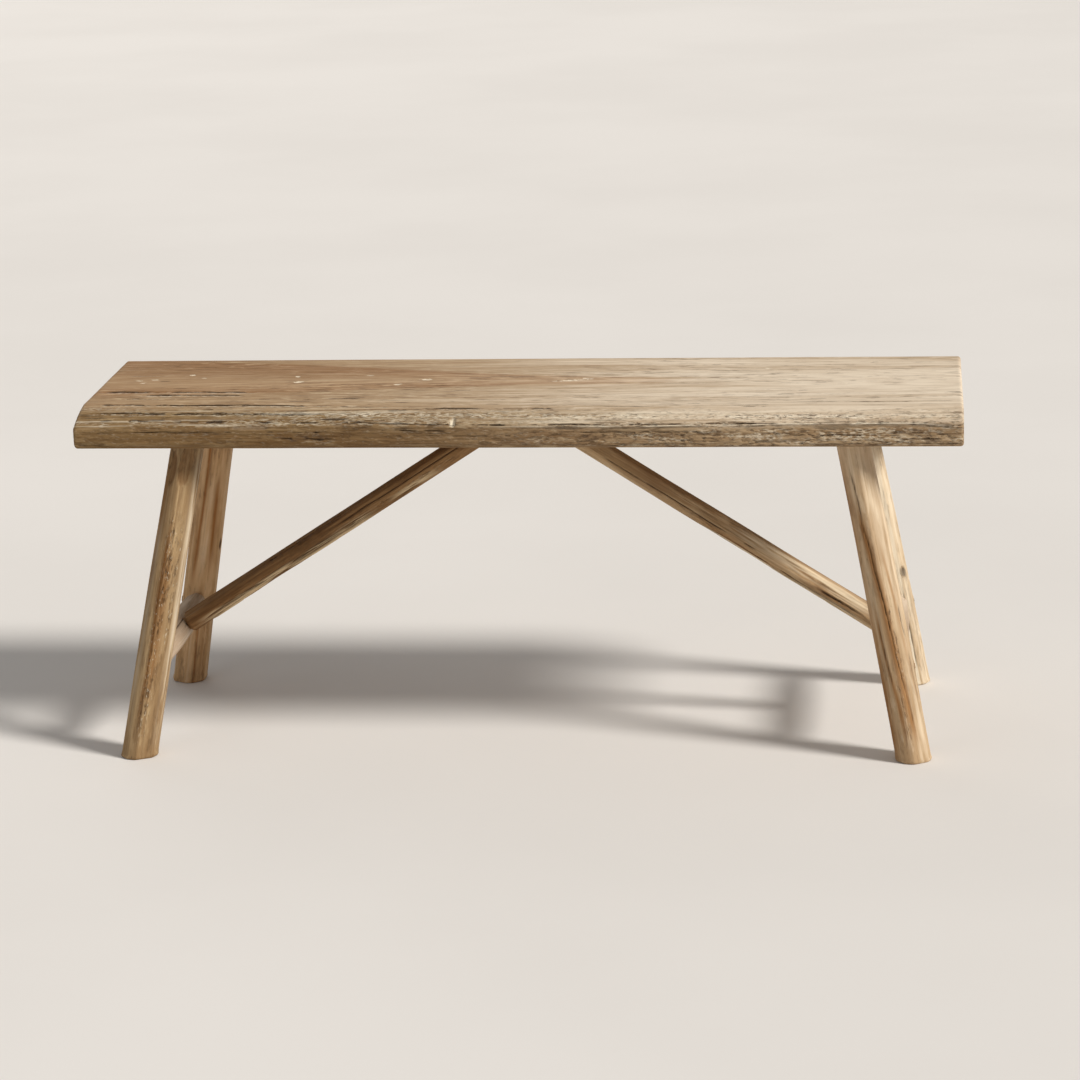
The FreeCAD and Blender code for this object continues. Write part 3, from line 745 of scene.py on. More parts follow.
def build_pole(
    name, matrix, profile, seed, turn, marks, crisp=0.6, slant=0.0, level_over=None,
    bow=((0, 0.0),), pegs=(),
):
    """A pole from (distance along, radius) pairs, with rows of marks by kind.

    slant turns the rings to the level. level_over is the stretch over which they take it up."""
    pole = PoleSurface(profile, seed, turn, crisp)
    for kind, mark in POLE_MARKS.items():
        for row in marks.get(kind, ()):
            mark(pole, *row)
    pole.reach = pole.reach - np.where(pole.thick, pole.sink, 0.0)
    for peg in pegs:
        pole.pare(*peg)
    px = pole.reach * np.cos(pole.angle)
    py = pole.reach * np.sin(pole.angle)
    shift = np.interp(pole.along, [t for t, _ in bow], [s for _, s in bow])
    if level_over:
        slant = slant * ramp(pole.along, *level_over)
    points = np.stack([px, py + shift, pole.along + px * slant], axis=2).reshape(-1, 3)
    rows, columns = px.shape
    numbers = np.arange(rows * columns).reshape(rows, columns)
    faces = []
    for row in range(rows - 1):
        faces += ring_faces(numbers[row], numbers[row + 1])

    # Both ends close with rings down to a middle point
    extra = []
    count = rows * columns
    for row, inward in ((0, True), (rows - 1, False)):
        previous = numbers[row]
        rim = points[previous]
        centre = rim.mean(axis=0)
        for share in CAP_SHARES:
            extra.append(rim + (centre - rim) * share)
            current = count + np.arange(columns)
            count += columns
            faces += ring_faces(previous, current, flip=inward)
            previous = current
        extra.append(centre[None, :])
        for column in range(columns):
            corner = (int(previous[column]), int(previous[(column + 1) % columns]), count)
            faces.append(corner[::-1] if inward else corner)
        count += 1
    blank = np.zeros(sum(len(part) for part in extra))
    masks = {label: np.concatenate([values.ravel(), blank]) for label, values in pole.masks.items()}
    return new_piece(name, np.concatenate([points] + extra), faces, masks, matrix)


def place(x, y, z, heading, tilt):
    """Local Z points up the pole: tilted about Y, then turned about Z."""
    turn = Matrix.Rotation(heading, 4, "Z") @ Matrix.Rotation(tilt, 4, "Y")
    return Matrix.Translation(Vector((x, y, z)) * MM) @ turn


def drill(piece, x, top, radius, depth):
    """Cut a round recess up into a piece from below."""
    angle = np.arange(DRILL_SIDES) * 2 * math.pi / DRILL_SIDES
    rings = []
    for height in (top - depth, top):
        circle = [x + radius * np.cos(angle), radius * np.sin(angle), np.full(DRILL_SIDES, height)]
        rings.append(np.stack(circle, axis=1))
    low, high = np.arange(DRILL_SIDES), np.arange(DRILL_SIDES) + DRILL_SIDES
    faces = ring_faces(low, high) + [tuple(int(n) for n in low[::-1]), tuple(int(n) for n in high)]
    masks = {label: np.zeros(2 * DRILL_SIDES) for label in POLE_MASKS}
    masks["split"] = np.full(2 * DRILL_SIDES, 0.55)
    cutter = new_piece("cutter", np.concatenate(rings), faces, masks)
    modifier = piece.modifiers.new("recess", "BOOLEAN")
    modifier.operation = "DIFFERENCE"
    modifier.object = cutter
    drilled = piece.evaluated_get(bpy.context.evaluated_depsgraph_get())
    mesh = bpy.data.meshes.new_from_object(drilled)
    mesh.name = piece.name
    piece.modifiers.clear()
    piece.data = mesh
    bpy.data.objects.remove(cutter)


# Materials
def put(tree, socket, value):
    """Link a socket to another one, or set its value."""
    if isinstance(value, bpy.types.NodeSocket):
        tree.links.new(value, socket)
    elif isinstance(value, tuple) and len(value) == 3 and socket.type == "RGBA":
        socket.default_value = (*value, 1.0)
    else:
        socket.default_value = value


def add_node(tree, kind, inputs, **settings):
    node = tree.nodes.new("ShaderNode" + kind)
    for label, value in settings.items():
        setattr(node, label, value)
    for label, value in inputs.items():
        put(tree, node.inputs[label], value)
    return node


class Shader:
    """Wires one node material. axis is the way the grain runs."""

    def __init__(self, name, grain=False, axis=0, shift=(0.0, 0.0, 0.0)):
        self.material = bpy.data.materials.new(name)
        self.material.use_nodes = True
        self.tree = self.material.node_tree
        self.surface = self.tree.nodes["Principled BSDF"]
        self.axis = axis
        self.shift = shift
        if grain:
            self.coords = self.add("Attribute", {}, attribute_name="grain").outputs["Vector"]
        else:
            self.coords = self.add("TexCoord", {}).outputs["Object"]

    def add(self, kind, inputs, **settings):
        return add_node(self.tree, kind, inputs, **settings)

    def math(self, operation, first, second=0.0):
        return self.add("Math", {0: first, 1: second}, operation=operation).outputs[0]

    def times(self, first, second):
        return self.math("MULTIPLY", first, second)

    def plus(self, first, second):
        return self.math("ADD", first, second)

    def minus(self, first, second):
        return self.math("SUBTRACT", first, second)

    def length(self, first, second):
        squares = self.plus(self.math("POWER", first, 2.0), self.math("POWER", second, 2.0))
        return self.math("SQRT", squares)

    def span(self, value, low, high, out_low=0.0, out_high=1.0):
        """Smooth step that goes from out_low at low to out_high at high."""
        inputs = dict(enumerate((value, low, high, out_low, out_high)))
        return self.add("MapRange", inputs, interpolation_type="SMOOTHSTEP").outputs[0]

    def stretch(self, scale, offset=(0.0, 0.0, 0.0)):
        inputs = {"Vector": self.coords, "Scale": scale, "Location": offset}
        return self.add("Mapping", inputs).outputs[0]

    def noise(self, vector, detail, rough):
        inputs = {"Vector": vector, "Scale": 1.0, "Detail": detail, "Roughness": rough}
        return self.add("TexNoise", inputs).outputs["Fac"]

    def drawn_out(self, along, across, detail, rough):
        """Noise that is drawn out along the grain."""
        scale = tuple(along if index == self.axis else across for index in range(3))
        return self.noise(self.stretch(scale, self.shift), detail, rough)

    def swayed(self, value, sway, size):
        """A value moved to and fro by noise."""
        return self.plus(value, self.times(self.minus(sway, 0.5), size))

    def mix(self, share, first, second, blend="MIX"):
        inputs = {"Factor": share, 6: first, 7: second}
        return self.add("Mix", inputs, data_type="RGBA", blend_type=blend).outputs[2]

    def mask(self, label):
        return self.add("Attribute", {}, attribute_name=label).outputs["Fac"]

    def split_axes(self, vector):
        return self.add("SeparateXYZ", {0: vector}).outputs

    def bump(self, height, distance, strength):
        inputs = {"Strength": strength, "Distance": distance, "Height": height}
        return self.add("Bump", inputs).outputs[0]

    def finish(self, colour, rough, normal, specular=0.15):
        looks = {"Base Color": colour, "Roughness": rough, "Normal": normal, "Specular IOR Level": specular}
        for label, value in looks.items():
            put(self.tree, self.surface.inputs[label], value)
        return self.material


# Colours of the weathering; two also serve for painted sunlight and painted shade
BLEACHED_AND_LIT = (0.86, 0.77, 0.61)
CRACK = (0.05, 0.03, 0.016)
STAIN_AND_SHADE = (0.56, 0.38, 0.22)
TORN = (0.78, 0.60, 0.37)
CREAM = (0.86, 0.73, 0.53)
SAWN = (0.84, 0.77, 0.68)


def marked(s, colour, streak, brown, dark, flecks, torn):
    """Colour and relief of the weathering that a mesh carries in its masks, and of the painted light and
    shade some of them carry.
    """
    strand = s.drawn_out(70, 640, 3.0, 0.6)
    white = s.drawn_out(150, 520, 2.0, 0.5)
    speck = s.drawn_out(95, 380, 3.0, 0.6)
    rough, flecked, dashes = s.mask("rough"), s.mask("flecked"), s.mask("dashes")

    pit = s.times(s.span(speck, 0.54, 0.66), rough)
    colour = s.mix(s.times(pit, 0.55), colour, dark)
    worn = s.times(s.mask("worn"), s.span(speck, 0.4, 0.58, 0.3, 1.0))
    colour = s.mix(s.times(worn, 0.75), colour, dark)
    # The stain mask darkens for real stains and for painted shade on a leg's dark side
    stain_and_shade = s.times(s.mask("stain_and_shade"), s.span(streak, 0.3, 0.6, 0.55, 1.0))
    colour = s.mix(stain_and_shade, colour, STAIN_AND_SHADE, "MULTIPLY")
    knot = s.mask("knot")
    colour = s.mix(s.span(knot, 0.05, 0.5, 0.0, 0.85), colour, brown)
    colour = s.mix(s.span(knot, 0.45, 0.95, 0.0, 0.85), colour, CRACK)
    fleck = s.times(s.span(white, 0.6, 0.68), rough)
    colour = s.mix(s.times(fleck, flecks), colour, BLEACHED_AND_LIT)
    lime = s.times(s.span(white, 0.46, 0.56), flecked)
    colour = s.mix(s.times(lime, 0.8), colour, BLEACHED_AND_LIT)
    soot = s.times(s.span(speck, 0.55, 0.63), flecked)
    colour = s.mix(s.times(soot, 0.85), colour, dark)
    line = s.span(s.plus(dashes, strand), 1.15, 1.27)
    colour = s.mix(s.times(line, s.span(dashes, 0.5, 0.85, 0.55, 0.92)), colour, CRACK)
    # The pale mask: torn and bleached wood, and painted highlights and sunlight
    colour = s.mix(s.times(s.mask("pale"), 0.85), colour, torn)
    # The split mask: cracks, and the painted shadow under the ledge
    crack = s.times(s.mask("split"), s.span(strand, 0.36, 0.52, 0.35, 1.0))
    colour = s.mix(s.times(crack, 0.95), colour, CRACK)
    sunk = s.times(s.plus(pit, s.plus(soot, line)), -0.8)
    return colour, s.plus(sunk, s.times(s.plus(fleck, lime), 0.4))


def wood(
    name, axis, tones, rings, shift=(0.0, 0.0, 0.0), fall=None, tint=None, dashes=0.5, flecks=0.2,
    grit=0.0, mottle=0.0, torn=BLEACHED_AND_LIT, grain=True,
):
    """Weathered wood. axis is the grain; tones run from pale to dark. torn colours the pale mask, which
    holds torn and bleached wood and also painted sunlight and highlights.
    """
    pale, middle, brown, dark = tones
    s = Shader(name, grain, axis, shift)
    broad = s.drawn_out(1.4, 9, 3.0, 0.5)
    streak = s.drawn_out(2.0, 58, 4.0, 0.6)
    fibre = s.drawn_out(6, 260, 4.0, 0.65)
    short = s.drawn_out(24, 470, 2.0, 0.5)
    crowd = s.drawn_out(4, 17, 2.0, 0.5)
    ring = rings(s, streak)
    sawn = s.mask("sawn")
    lengthwise = s.span(sawn, 0.0, 1.0, 1.0, 0.15)

    tone = s.plus(s.times(broad, 0.8), s.times(streak, 0.45))
    if fall is not None:
        tone = s.plus(tone, fall(s))
    colour = s.mix(s.span(tone, 0.44, 0.68), pale, middle)
    colour = s.mix(s.span(tone, 0.62, 0.88, 0.0, 0.85), colour, brown)
    colour = s.mix(s.times(ring, s.plus(0.42, s.times(sawn, 0.4))), colour, brown)
    colour = s.mix(sawn, colour, SAWN, "MULTIPLY")
    colour = s.mix(s.span(fibre, 0.52, 0.7, 0.0, 0.5), colour, brown)
    colour = s.mix(s.times(s.span(fibre, 0.47, 0.32, 0.0, 0.5), lengthwise), colour, pale)
    dash = s.times(s.span(short, 0.58, 0.67), s.span(crowd, 0.42, 0.62, 0.15, 1.0))
    colour = s.mix(s.times(dash, dashes), colour, dark)
    if grit:
        chip = s.drawn_out(34, 150, 3.0, 0.6)
        gathered = s.times(s.span(crowd, 0.35, 0.6, 0.3 * grit, grit), lengthwise)
        colour = s.mix(s.times(s.span(chip, 0.56, 0.67), gathered), colour, dark)
        colour = s.mix(s.times(s.span(chip, 0.44, 0.34), gathered), colour, pale)
    if mottle:
        cloud = s.drawn_out(9, 42, 3.0, 0.6)
        colour = s.mix(s.span(cloud, 0.5, 0.66, 0.0, mottle), colour, brown)
        colour = s.mix(s.span(cloud, 0.46, 0.34, 0.0, mottle), colour, pale)
    if tint is not None:
        colour = tint(s, colour)

    relief = s.plus(s.times(fibre, -0.8), s.times(dash, -0.35))
    relief = s.plus(relief, s.times(ring, -0.2))
    if grain:
        colour, marks = marked(s, colour, streak, brown, dark, flecks, torn)
        relief = s.plus(relief, marks)
    normal = s.bump(relief, 0.0012, 0.8)
    return s.finish(colour, s.span(fibre, 0.3, 0.7, 0.7, 0.92), normal)


def plank_rings(s, streak):
    """Flat-sawn figure: cones of year rings whose arches close towards the right."""
    x, y, z = s.split_axes(s.coords)
    sway = s.noise(s.stretch((2.0, 8.0, 8.0)), 3.0, 0.5)
    middle = s.plus(s.times(x, -0.06), 0.03)
    across = s.minus(y, middle)
    across = s.swayed(across, sway, 0.04)
    height = s.plus(s.times(x, 0.089), s.minus(z, 0.36))
    reach = s.length(across, height)
    reach = s.swayed(reach, streak, 0.014)
    band = s.math("FRACT", s.times(reach, 150.0))
    line = s.times(s.span(band, 0.15, 0.8), s.span(band, 1.0, 0.86))
    return s.times(line, s.span(x, 0.02, 0.3, 1.0, 0.35))


def heart_edge(s):
    """Distance inside the arched heart figure, which narrows to the right."""
    x, y, _ = s.split_axes(s.coords)
    sway = s.noise(s.stretch((3.0, 20.0, 20.0)), 3.0, 0.5)
    middle = s.plus(s.times(x, -0.05), 0.03)
    off = s.math("ABSOLUTE", s.minus(y, middle))
    width = s.span(x, -0.56, 0.17, 0.105, 0.015)
    return s.swayed(s.minus(width, off), sway, 0.03)


def plank_fall(s):
    """Browner to the left, in the arched heart and below the nose; paler to the right. The fall from right
    to left and the browner strip below the nose are partly the wood's tone and partly painted light and
    shade.
    """
    x, _, z = s.split_axes(s.coords)
    edge = heart_edge(s)
    patchy = s.span(s.noise(s.stretch((7.0, 90.0, 40.0)), 3.0, 0.6), 0.36, 0.6, 0.25, 1.0)
    figure = s.times(s.span(edge, -0.01, 0.014), s.span(x, 0.05, 0.2, 0.05, 0.0))
    rim = s.times(s.span(edge, -0.006, 0.002), s.span(edge, 0.013, 0.004))
    rim = s.times(s.times(rim, patchy), s.span(x, 0.12, 0.26, 0.13, 0.0))
    # Darker below the nose and towards the left: partly the wood's tone, partly painted shade
    low = s.span(z, 0.446, 0.428, 0.0, 0.10)
    return s.plus(s.times(x, -0.2), s.plus(low, s.plus(figure, rim)))


def plank_tint(s, colour):
    """A reddish heart on the top, and darker grey-olive to the left and down the front, partly weathering
    and partly painted shade.
    """
    x, _, z = s.split_axes(s.coords)
    edge = heart_edge(s)
    red = s.times(s.span(edge, -0.012, 0.006), s.span(edge, 0.07, 0.01, 0.4, 1.0))
    red = s.times(red, s.times(s.span(x, 0.1, 0.24, 1.0, 0.0), s.span(z, 0.440, 0.447)))
    colour = s.mix(s.times(red, 0.5), colour, (0.88, 0.72, 0.60), "MULTIPLY")
    # Darker to the left: partly weathering, partly painted shade
    colour = s.mix(s.span(x, 0.25, -0.4), colour, (0.80, 0.72, 0.61), "MULTIPLY")
    # The slope and the front face are darkened: partly weathering, partly painted shade
    slope = s.times(s.span(z, 0.4498, 0.4425), s.span(x, 0.35, -0.3, 0.0, 1.0))
    colour = s.mix(slope, colour, (0.58, 0.53, 0.41), "MULTIPLY")
    face = s.times(s.span(z, 0.436, 0.427), s.span(x, -0.4, 0.3, 0.15, 1.0))
    return s.mix(face, colour, (0.68, 0.60, 0.49), "MULTIPLY")


def pole_rings(s, streak):
    """Year rings round the pole's own axis, which the flats cut into long ovals."""
    x, y, _ = s.split_axes(s.coords)
    sway = s.noise(s.stretch((14.0, 14.0, 3.0)), 3.0, 0.5)
    reach = s.length(x, y)
    reach = s.swayed(reach, sway, 0.014)
    reach = s.swayed(reach, streak, 0.006)
    band = s.math("FRACT", s.times(reach, 260.0))
    return s.times(s.span(band, 0.1, 0.75), s.span(band, 1.0, 0.85))


PLANK_TONES = ((0.80, 0.685, 0.54), (0.54, 0.415, 0.285), (0.345, 0.225, 0.13), (0.115, 0.07, 0.04))
LEG_TONES = ((0.78, 0.545, 0.32), (0.60, 0.38, 0.195), (0.37, 0.20, 0.085), (0.10, 0.055, 0.03))
# Lit and shaded copies of the leg wood: the front left leg's tones are darkened as painted shade, the front
# right leg's are paler, partly its own pale wood and partly painted sunlight, and the rear right leg's are
# paler still as painted sunlight.
SHADED_LEG_TONES = ((0.50, 0.355, 0.195), (0.34, 0.22, 0.11), (0.21, 0.12, 0.053), (0.075, 0.042, 0.021))
PALE_LEG_TONES = ((0.74, 0.60, 0.43), (0.56, 0.41, 0.25), (0.36, 0.22, 0.11), (0.13, 0.075, 0.04))
SUNLIT_LEG_TONES = ((0.81, 0.70, 0.54), (0.66, 0.52, 0.35), (0.42, 0.28, 0.155), (0.13, 0.075, 0.04))
RAIL_TONES = ((0.60, 0.485, 0.365), (0.47, 0.355, 0.25), (0.33, 0.23, 0.15), (0.13, 0.085, 0.055))
# The left brace's dark tones are partly its own dark wood and partly painted shade; the right brace's paler
# tones are partly its own golden wood and partly painted sunlight.
DARK_BRACE_TONES = ((0.40, 0.235, 0.105), (0.22, 0.115, 0.045), (0.12, 0.055, 0.02), (0.045, 0.02, 0.01))
BRACE_TONES = ((0.70, 0.53, 0.33), (0.50, 0.34, 0.185), (0.25, 0.14, 0.065), (0.07, 0.038, 0.02))
PEG_TONES = ((0.50, 0.36, 0.22), (0.38, 0.26, 0.15), (0.26, 0.16, 0.09), (0.12, 0.07, 0.04))


def screw_steel():
    s = Shader("screw_steel")
    scratch = s.noise(s.stretch((900, 900, 220)), 3.0, 0.6)
    dull = s.noise(s.stretch((160, 160, 160)), 4.0, 0.6)
    colour = s.mix(s.span(dull, 0.4, 0.7), (0.50, 0.48, 0.45), (0.26, 0.22, 0.18))
    s.surface.inputs["Metallic"].default_value = 1.0
    return s.finish(colour, s.span(scratch, 0.3, 0.7, 0.32, 0.6), s.bump(scratch, 0.0003, 0.4), 0.5)


# Rows of marks on the poles. Places are angles round a pole and distances along it.
# splits: angle, start, end, half width, depth, turn per 100 mm
# knots: angle, place, radius
# scoops: angle, place, half width, half length, depth
# streaks: angle, spread, start, end
# stains_and_shade: angle, spread, start, end, turn per 100 mm; dark strips for stains and for painted shade
# bleached_and_lit: angle, spread, start, end, weight; pale strips for weathered pale wood and for painted
# sunlight
# torn: angle, spread, start, end, depth
LEGS = {
    "front_left": dict(
        side=-1, end=-1, foot=50, top=45, bow=2.5, turn=4, tones=SHADED_LEG_TONES, crisp=1.0,
        splits=[
            (4.02, 140, 205, 1.6, 2.2, 0.0), (2.2, 150, 390, 1.2, 1.8, 0.03),
            (0.8, 40, 250, 1.2, 1.8, -0.03),
        ],
        knots=[(1.2, 268, 7)],
        scoops=[(3.51, LEG_AXIS - 30, 7.5, 24, 3.4), (4.42, LEG_AXIS - 26, 12.5, 30, 3.2)],
        streaks=[(4.18, 0.32, 10, 350), (4.8, 0.14, 120, 330)],
        stains_and_shade=[(4.3, 0.25, 60, 300, 0.0), (3.2, 0.2, 200, 420, 0.0), (3.98, 0.13, 20, 330, 0.02)],
        # Pale strips of painted light: sunlight on the facet towards the key light, and fainter bounce light
        # on the far facet
        bleached_and_lit=[(5.3, 0.22, -10, 420, 0.6), (3.3, 0.2, 20, 330, 0.25)],
    ),
    "front_right": dict(
        side=1, end=-1, foot=49, top=46, bow=-2.0, turn=17, tones=PALE_LEG_TONES, crisp=0.45,
        splits=[
            (2.75, 4, 330, 0.9, 1.6, -0.3), (2.3, 150, 390, 0.9, 1.3, -0.26),
            (3.4, 30, 220, 0.9, 1.4, -0.2), (2.05, 20, 190, 0.8, 1.2, -0.28),
            (5.4, 90, 380, 1.1, 1.6, -0.2),
        ],
        knots=[(5.9, 150, 8)],
        streaks=[(2.5, 0.14, 90, 240), (2.15, 0.1, 10, 130)],
        # The broad stain at 0.95 is painted shade on the leg's side away from the key light
        stains_and_shade=[
            (2.72, 0.25, 0, 360, -0.3), (2.05, 0.14, 10, 230, -0.28),
            (3.3, 0.1, 60, 300, -0.3), (0.95, 0.5, -20, 430, 0.0),
        ],
    ),
    "rear_left": dict(
        side=-1, end=1, foot=50, top=46, bow=-1.5, turn=11, tones=LEG_TONES, crisp=0.5,
        splits=[(5.9, 230, 380, 1.1, 1.5, 0.05), (2.4, 60, 330, 1.2, 1.8, -0.04)],
        knots=[(0.35, 205, 6)],
        stains_and_shade=[(5.85, 0.16, 150, 330, 0.0), (4.95, 0.14, 120, 420, 0.02), (5.55, 0.1, -30, 170, 0.0)],
        bleached_and_lit=[(5.4, 0.2, 150, 320, 0.3), (5.15, 0.12, -30, 150, 0.3)],
    ),
    "rear_right": dict(
        side=1, end=1, foot=49, top=45, bow=2.0, turn=24, tones=SUNLIT_LEG_TONES, crisp=0.5,
        splits=[(1.5, 20, 150, 1.1, 1.6, 0.04), (4.2, 60, 340, 1.2, 1.8, -0.03)],
        knots=[(1.85, 167, 6)],
        stains_and_shade=[(1.8, 0.16, 120, 175, 0.0)],
        # A broad pale strip of painted sunlight on the lit side
        bleached_and_lit=[(1.1, 0.85, -40, 470, 0.9)],
    ),
}
# How a foot's edge is worn: distance up the leg, and how far the edge is drawn in there
FOOT_EDGE = ((0, 2.4), (0.9, 1.1), (2.6, 0.3))

# Seeds of the noise, one step apart from pole to pole
LEG_SEED = 100
RAIL_SEED = 300
BRACE_SEED = 500
SEED_STEP = 40

SIDES = {"left": -1, "right": 1}
RAIL_MARKS = dict(
    splits=[
        (0.8, -90, 60, 1.2, 1.8, 0.04), (3.4, -30, 110, 1.2, 1.8, -0.03), (5.2, -100, 20, 1.1, 1.5, 0.05),
    ],
)
BRACES = {
    "left": dict(
        tones=DARK_BRACE_TONES, pale_tone=TORN, turn=-13, crisp=0.9,
        splits=[
            (5.2, 60, 330, 1.2, 1.8, 0.03), (0.9, 180, 470, 1.2, 1.8, -0.02),
            (4.4, 260, 500, 1.2, 1.6, 0.03),
        ],
        torn=[(5.5, 0.75, 26, 330, 2.6), (5.35, 0.5, 335, 430, 2.0)],
        streaks=[(5.0, 0.18, 300, 450), (3.6, 0.16, 120, 330)],
    ),
    "right": dict(
        tones=BRACE_TONES, pale_tone=CREAM, turn=13, crisp=0.6,
        splits=[
            (0.9, 40, 260, 1.4, 2.4, 0.04), (1.5, 200, 460, 1.2, 1.8, -0.03),
            (5.6, 120, 420, 1.1, 1.6, 0.02), (1.42, 40, 128, 2.6, 2.2, -0.06),
        ],
        torn=[(0.45, 0.3, 60, 300, 1.6)],
        streaks=[(1.35, 0.17, 30, 135), (0.8, 0.2, 160, 300), (1.25, 0.12, 230, 380)],
        # Pale strips: partly bleached wood and partly painted sunlight
        bleached_and_lit=[(2.25, 0.55, 15, 270, 0.85), (0.8, 0.25, 20, 130, 0.5)],
        stains_and_shade=[(1.35, 0.2, 30, 160, 0.0), (0.9, 0.3, 150, 330, 0.0)],
    ),
}


# Build and dress the pieces
def add_plank():
    plank = build_plank()
    plank_wood = wood("plank_wood", 0, PLANK_TONES, plank_rings, fall=plank_fall, tint=plank_tint, grit=0.55)
    dress(plank, plank_wood, "seat_wood", "seat")


def add_leg(number, leg, facts):
    side, end = facts["side"], facts["end"]
    heading = math.atan2(-end * SPLAY_Y, -side * SPLAY_X)
    foot, top = facts["foot"] / 2, facts["top"] / 2
    waist, neck = foot * 0.62 + top * 0.38, foot * 0.28 + top * 0.72
    low, high = LEG_AXIS * 0.3, LEG_AXIS * 0.7
    profile = [(distance, foot - inset) for distance, inset in FOOT_EDGE]
    profile += [(low, waist), (high, neck), (LEG_AXIS + 1.5, top)]
    bow = [(-foot, 0), (low, facts["bow"]), (high, facts["bow"]), (LEG_AXIS + top, 0)]
    peg_angle = math.atan2(-side * math.sin(heading), side * math.cos(heading) * math.cos(LEG_TILT))
    matrix = place(side * FOOT_X, end * FOOT_Y, 0, heading, LEG_TILT)
    pole = build_pole(
        f"pole_{leg}", matrix, profile, LEG_SEED + SEED_STEP * number, facts["turn"], facts,
        facts["crisp"], slant=math.tan(LEG_TILT), bow=bow,
        pegs=[(peg_angle, LEG_AXIS * STRETCHER_Z / UNDERSIDE, PEG_RADIUS)],
    )
    shift = (0.37 * number, 0.61 * number, 0.83 * number)
    leg_wood = wood(
        f"{leg}_wood", 2, facts["tones"], pole_rings, shift, dashes=0.25, flecks=0.35, grit=0.42,
        mottle=0.4,
    )
    dress(pole, leg_wood, "pole_wood", f"leg_{leg}")


def add_rail(number, name, side):
    shoulder = STRETCHER_Y - LEGS[f"front_{name}"]["foot"] / 2 / math.cos(LEG_TILT)
    body_end = shoulder - STRETCHER_SHOULDER
    half = [
        (body_end * STRETCHER_BELLY, STRETCHER_RADIUS),
        (body_end, STRETCHER_END_RADIUS),
        (shoulder, STRETCHER_END_RADIUS - STRETCHER_SHOULDER),
        (shoulder + TENON_STEP, STRETCHER_TENON_RADIUS),
        (STRETCHER_Y + TENON_PAST_LEG, STRETCHER_TENON_RADIUS),
    ]
    profile = [(-distance, radius) for distance, radius in reversed(half)] + half
    matrix = Matrix.Translation(Vector((side * STRETCHER_X, 0, STRETCHER_Z)) * MM)
    matrix = matrix @ Matrix.Rotation(math.radians(-90), 4, "X")
    peg_angle = math.atan2(-math.sin(BRACE_TILT), side * math.cos(BRACE_TILT))
    rail = build_pole(
        f"rail_{name}", matrix, profile, RAIL_SEED + SEED_STEP * number, 9 * side, RAIL_MARKS,
        pegs=[(peg_angle, 0, BRACE_PEG_RADIUS)],
    )
    shift = (0.2 + number, 0.4, 0.7)
    rail_wood = wood(f"rail_{name}_wood", 2, RAIL_TONES, pole_rings, shift, dashes=0.25, mottle=0.4)
    dress(rail, rail_wood, "pole_wood", f"stretcher_{name}")


def add_brace(number, name, side):
    facts = BRACES[name]
    body = BRACE_FOOT + BRACE_SHOULDER
    low, high = BRACE_AXIS * 0.35, BRACE_AXIS * 0.7
    profile = [
        (BRACE_TENON_START, BRACE_TENON_RADIUS),
        (BRACE_FOOT, BRACE_TENON_RADIUS),
        (BRACE_FOOT + TENON_STEP, BRACE_FOOT_RADIUS - BRACE_SHOULDER),
        (body, BRACE_FOOT_RADIUS),
        (low, BRACE_FOOT_RADIUS - 0.2),
        (high, BRACE_HEAD_RADIUS + 0.1),
        (BRACE_AXIS + 0.8, BRACE_HEAD_RADIUS),
    ]
    bow = [(body, 0), (low, side * BRACE_BOW), (high, side * BRACE_BOW), (BRACE_AXIS + 60, 0)]
    matrix = place(side * STRETCHER_X, 0, STRETCHER_Z, math.pi if side > 0 else 0.0, BRACE_TILT)
    brace = build_pole(
        f"diagonal_{name}", matrix, profile, BRACE_SEED + SEED_STEP * number, facts["turn"], facts,
        facts["crisp"], slant=math.tan(BRACE_TILT), bow=bow,
        level_over=(BRACE_AXIS - BRACE_BEVEL, BRACE_AXIS),
    )
    drill(brace, side * SCREW_X, SCREW_SEAT, SCREW_BORE, SCREW_BORE_DEPTH)
    shift = (0.9, 0.3 + number, 0.5)
    brace_wood = wood(
        f"brace_{name}_wood", 2, facts["tones"], pole_rings, shift, dashes=0.4, grit=0.2, mottle=0.45,
        torn=facts["pale_tone"],
    )
    dress(brace, brace_wood, "brace_wood", f"brace_{name}")


def paint_fastenings():
    """The pegs, wedges and screws keep their CAD meshes."""
    peg_wood = wood("peg_wood", 0, PEG_TONES, pole_rings, grain=False)
    steel = screw_steel()
    for node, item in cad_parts.items():
        if "peg" in node or "wedge" in node:
            item.data.materials.clear()
            item.data.materials.append(peg_wood)
        if "screw" in node:
            item.data.materials.clear()
            item.data.materials.append(steel)


# Studio: an even pale floor, one broad key light from the right and soft fill
def build_floor():
    mesh = bpy.data.meshes.new("floor")
    low = -0.0003
    corners = [(-30, -12, low), (30, -12, low), (30, 40, low), (-30, 40, low)]
    mesh.from_pydata(corners, [], [(0, 1, 2, 3)])
    floor = bpy.data.objects.new("floor", mesh)
    bpy.context.scene.collection.objects.link(floor)
    s = Shader("floor_paint")
    cloud = s.noise(s.stretch((1.1, 1.1, 1.1)), 4.0, 0.5)
    colour = s.mix(s.span(cloud, 0.3, 0.7), (0.80, 0.775, 0.75), (0.77, 0.745, 0.72))
    rough = s.span(cloud, 0.3, 0.7, 0.75, 0.85)
    mesh.materials.append(s.finish(colour, rough, s.bump(cloud, 0.0005, 0.2)))


def add_lamp(name, kind, position, target, power, colour, size):
    lamp = bpy.data.lights.new(name, kind)
    lamp.energy = power
    lamp.color = colour
    if kind == "SUN":
        lamp.angle = size
    else:
        lamp.size = size
    holder = bpy.data.objects.new(name, lamp)
    holder.location = position
    holder.rotation_euler = (Vector(target) - Vector(position)).to_track_quat("-Z", "Y").to_euler()
    bpy.context.scene.collection.objects.link(holder)


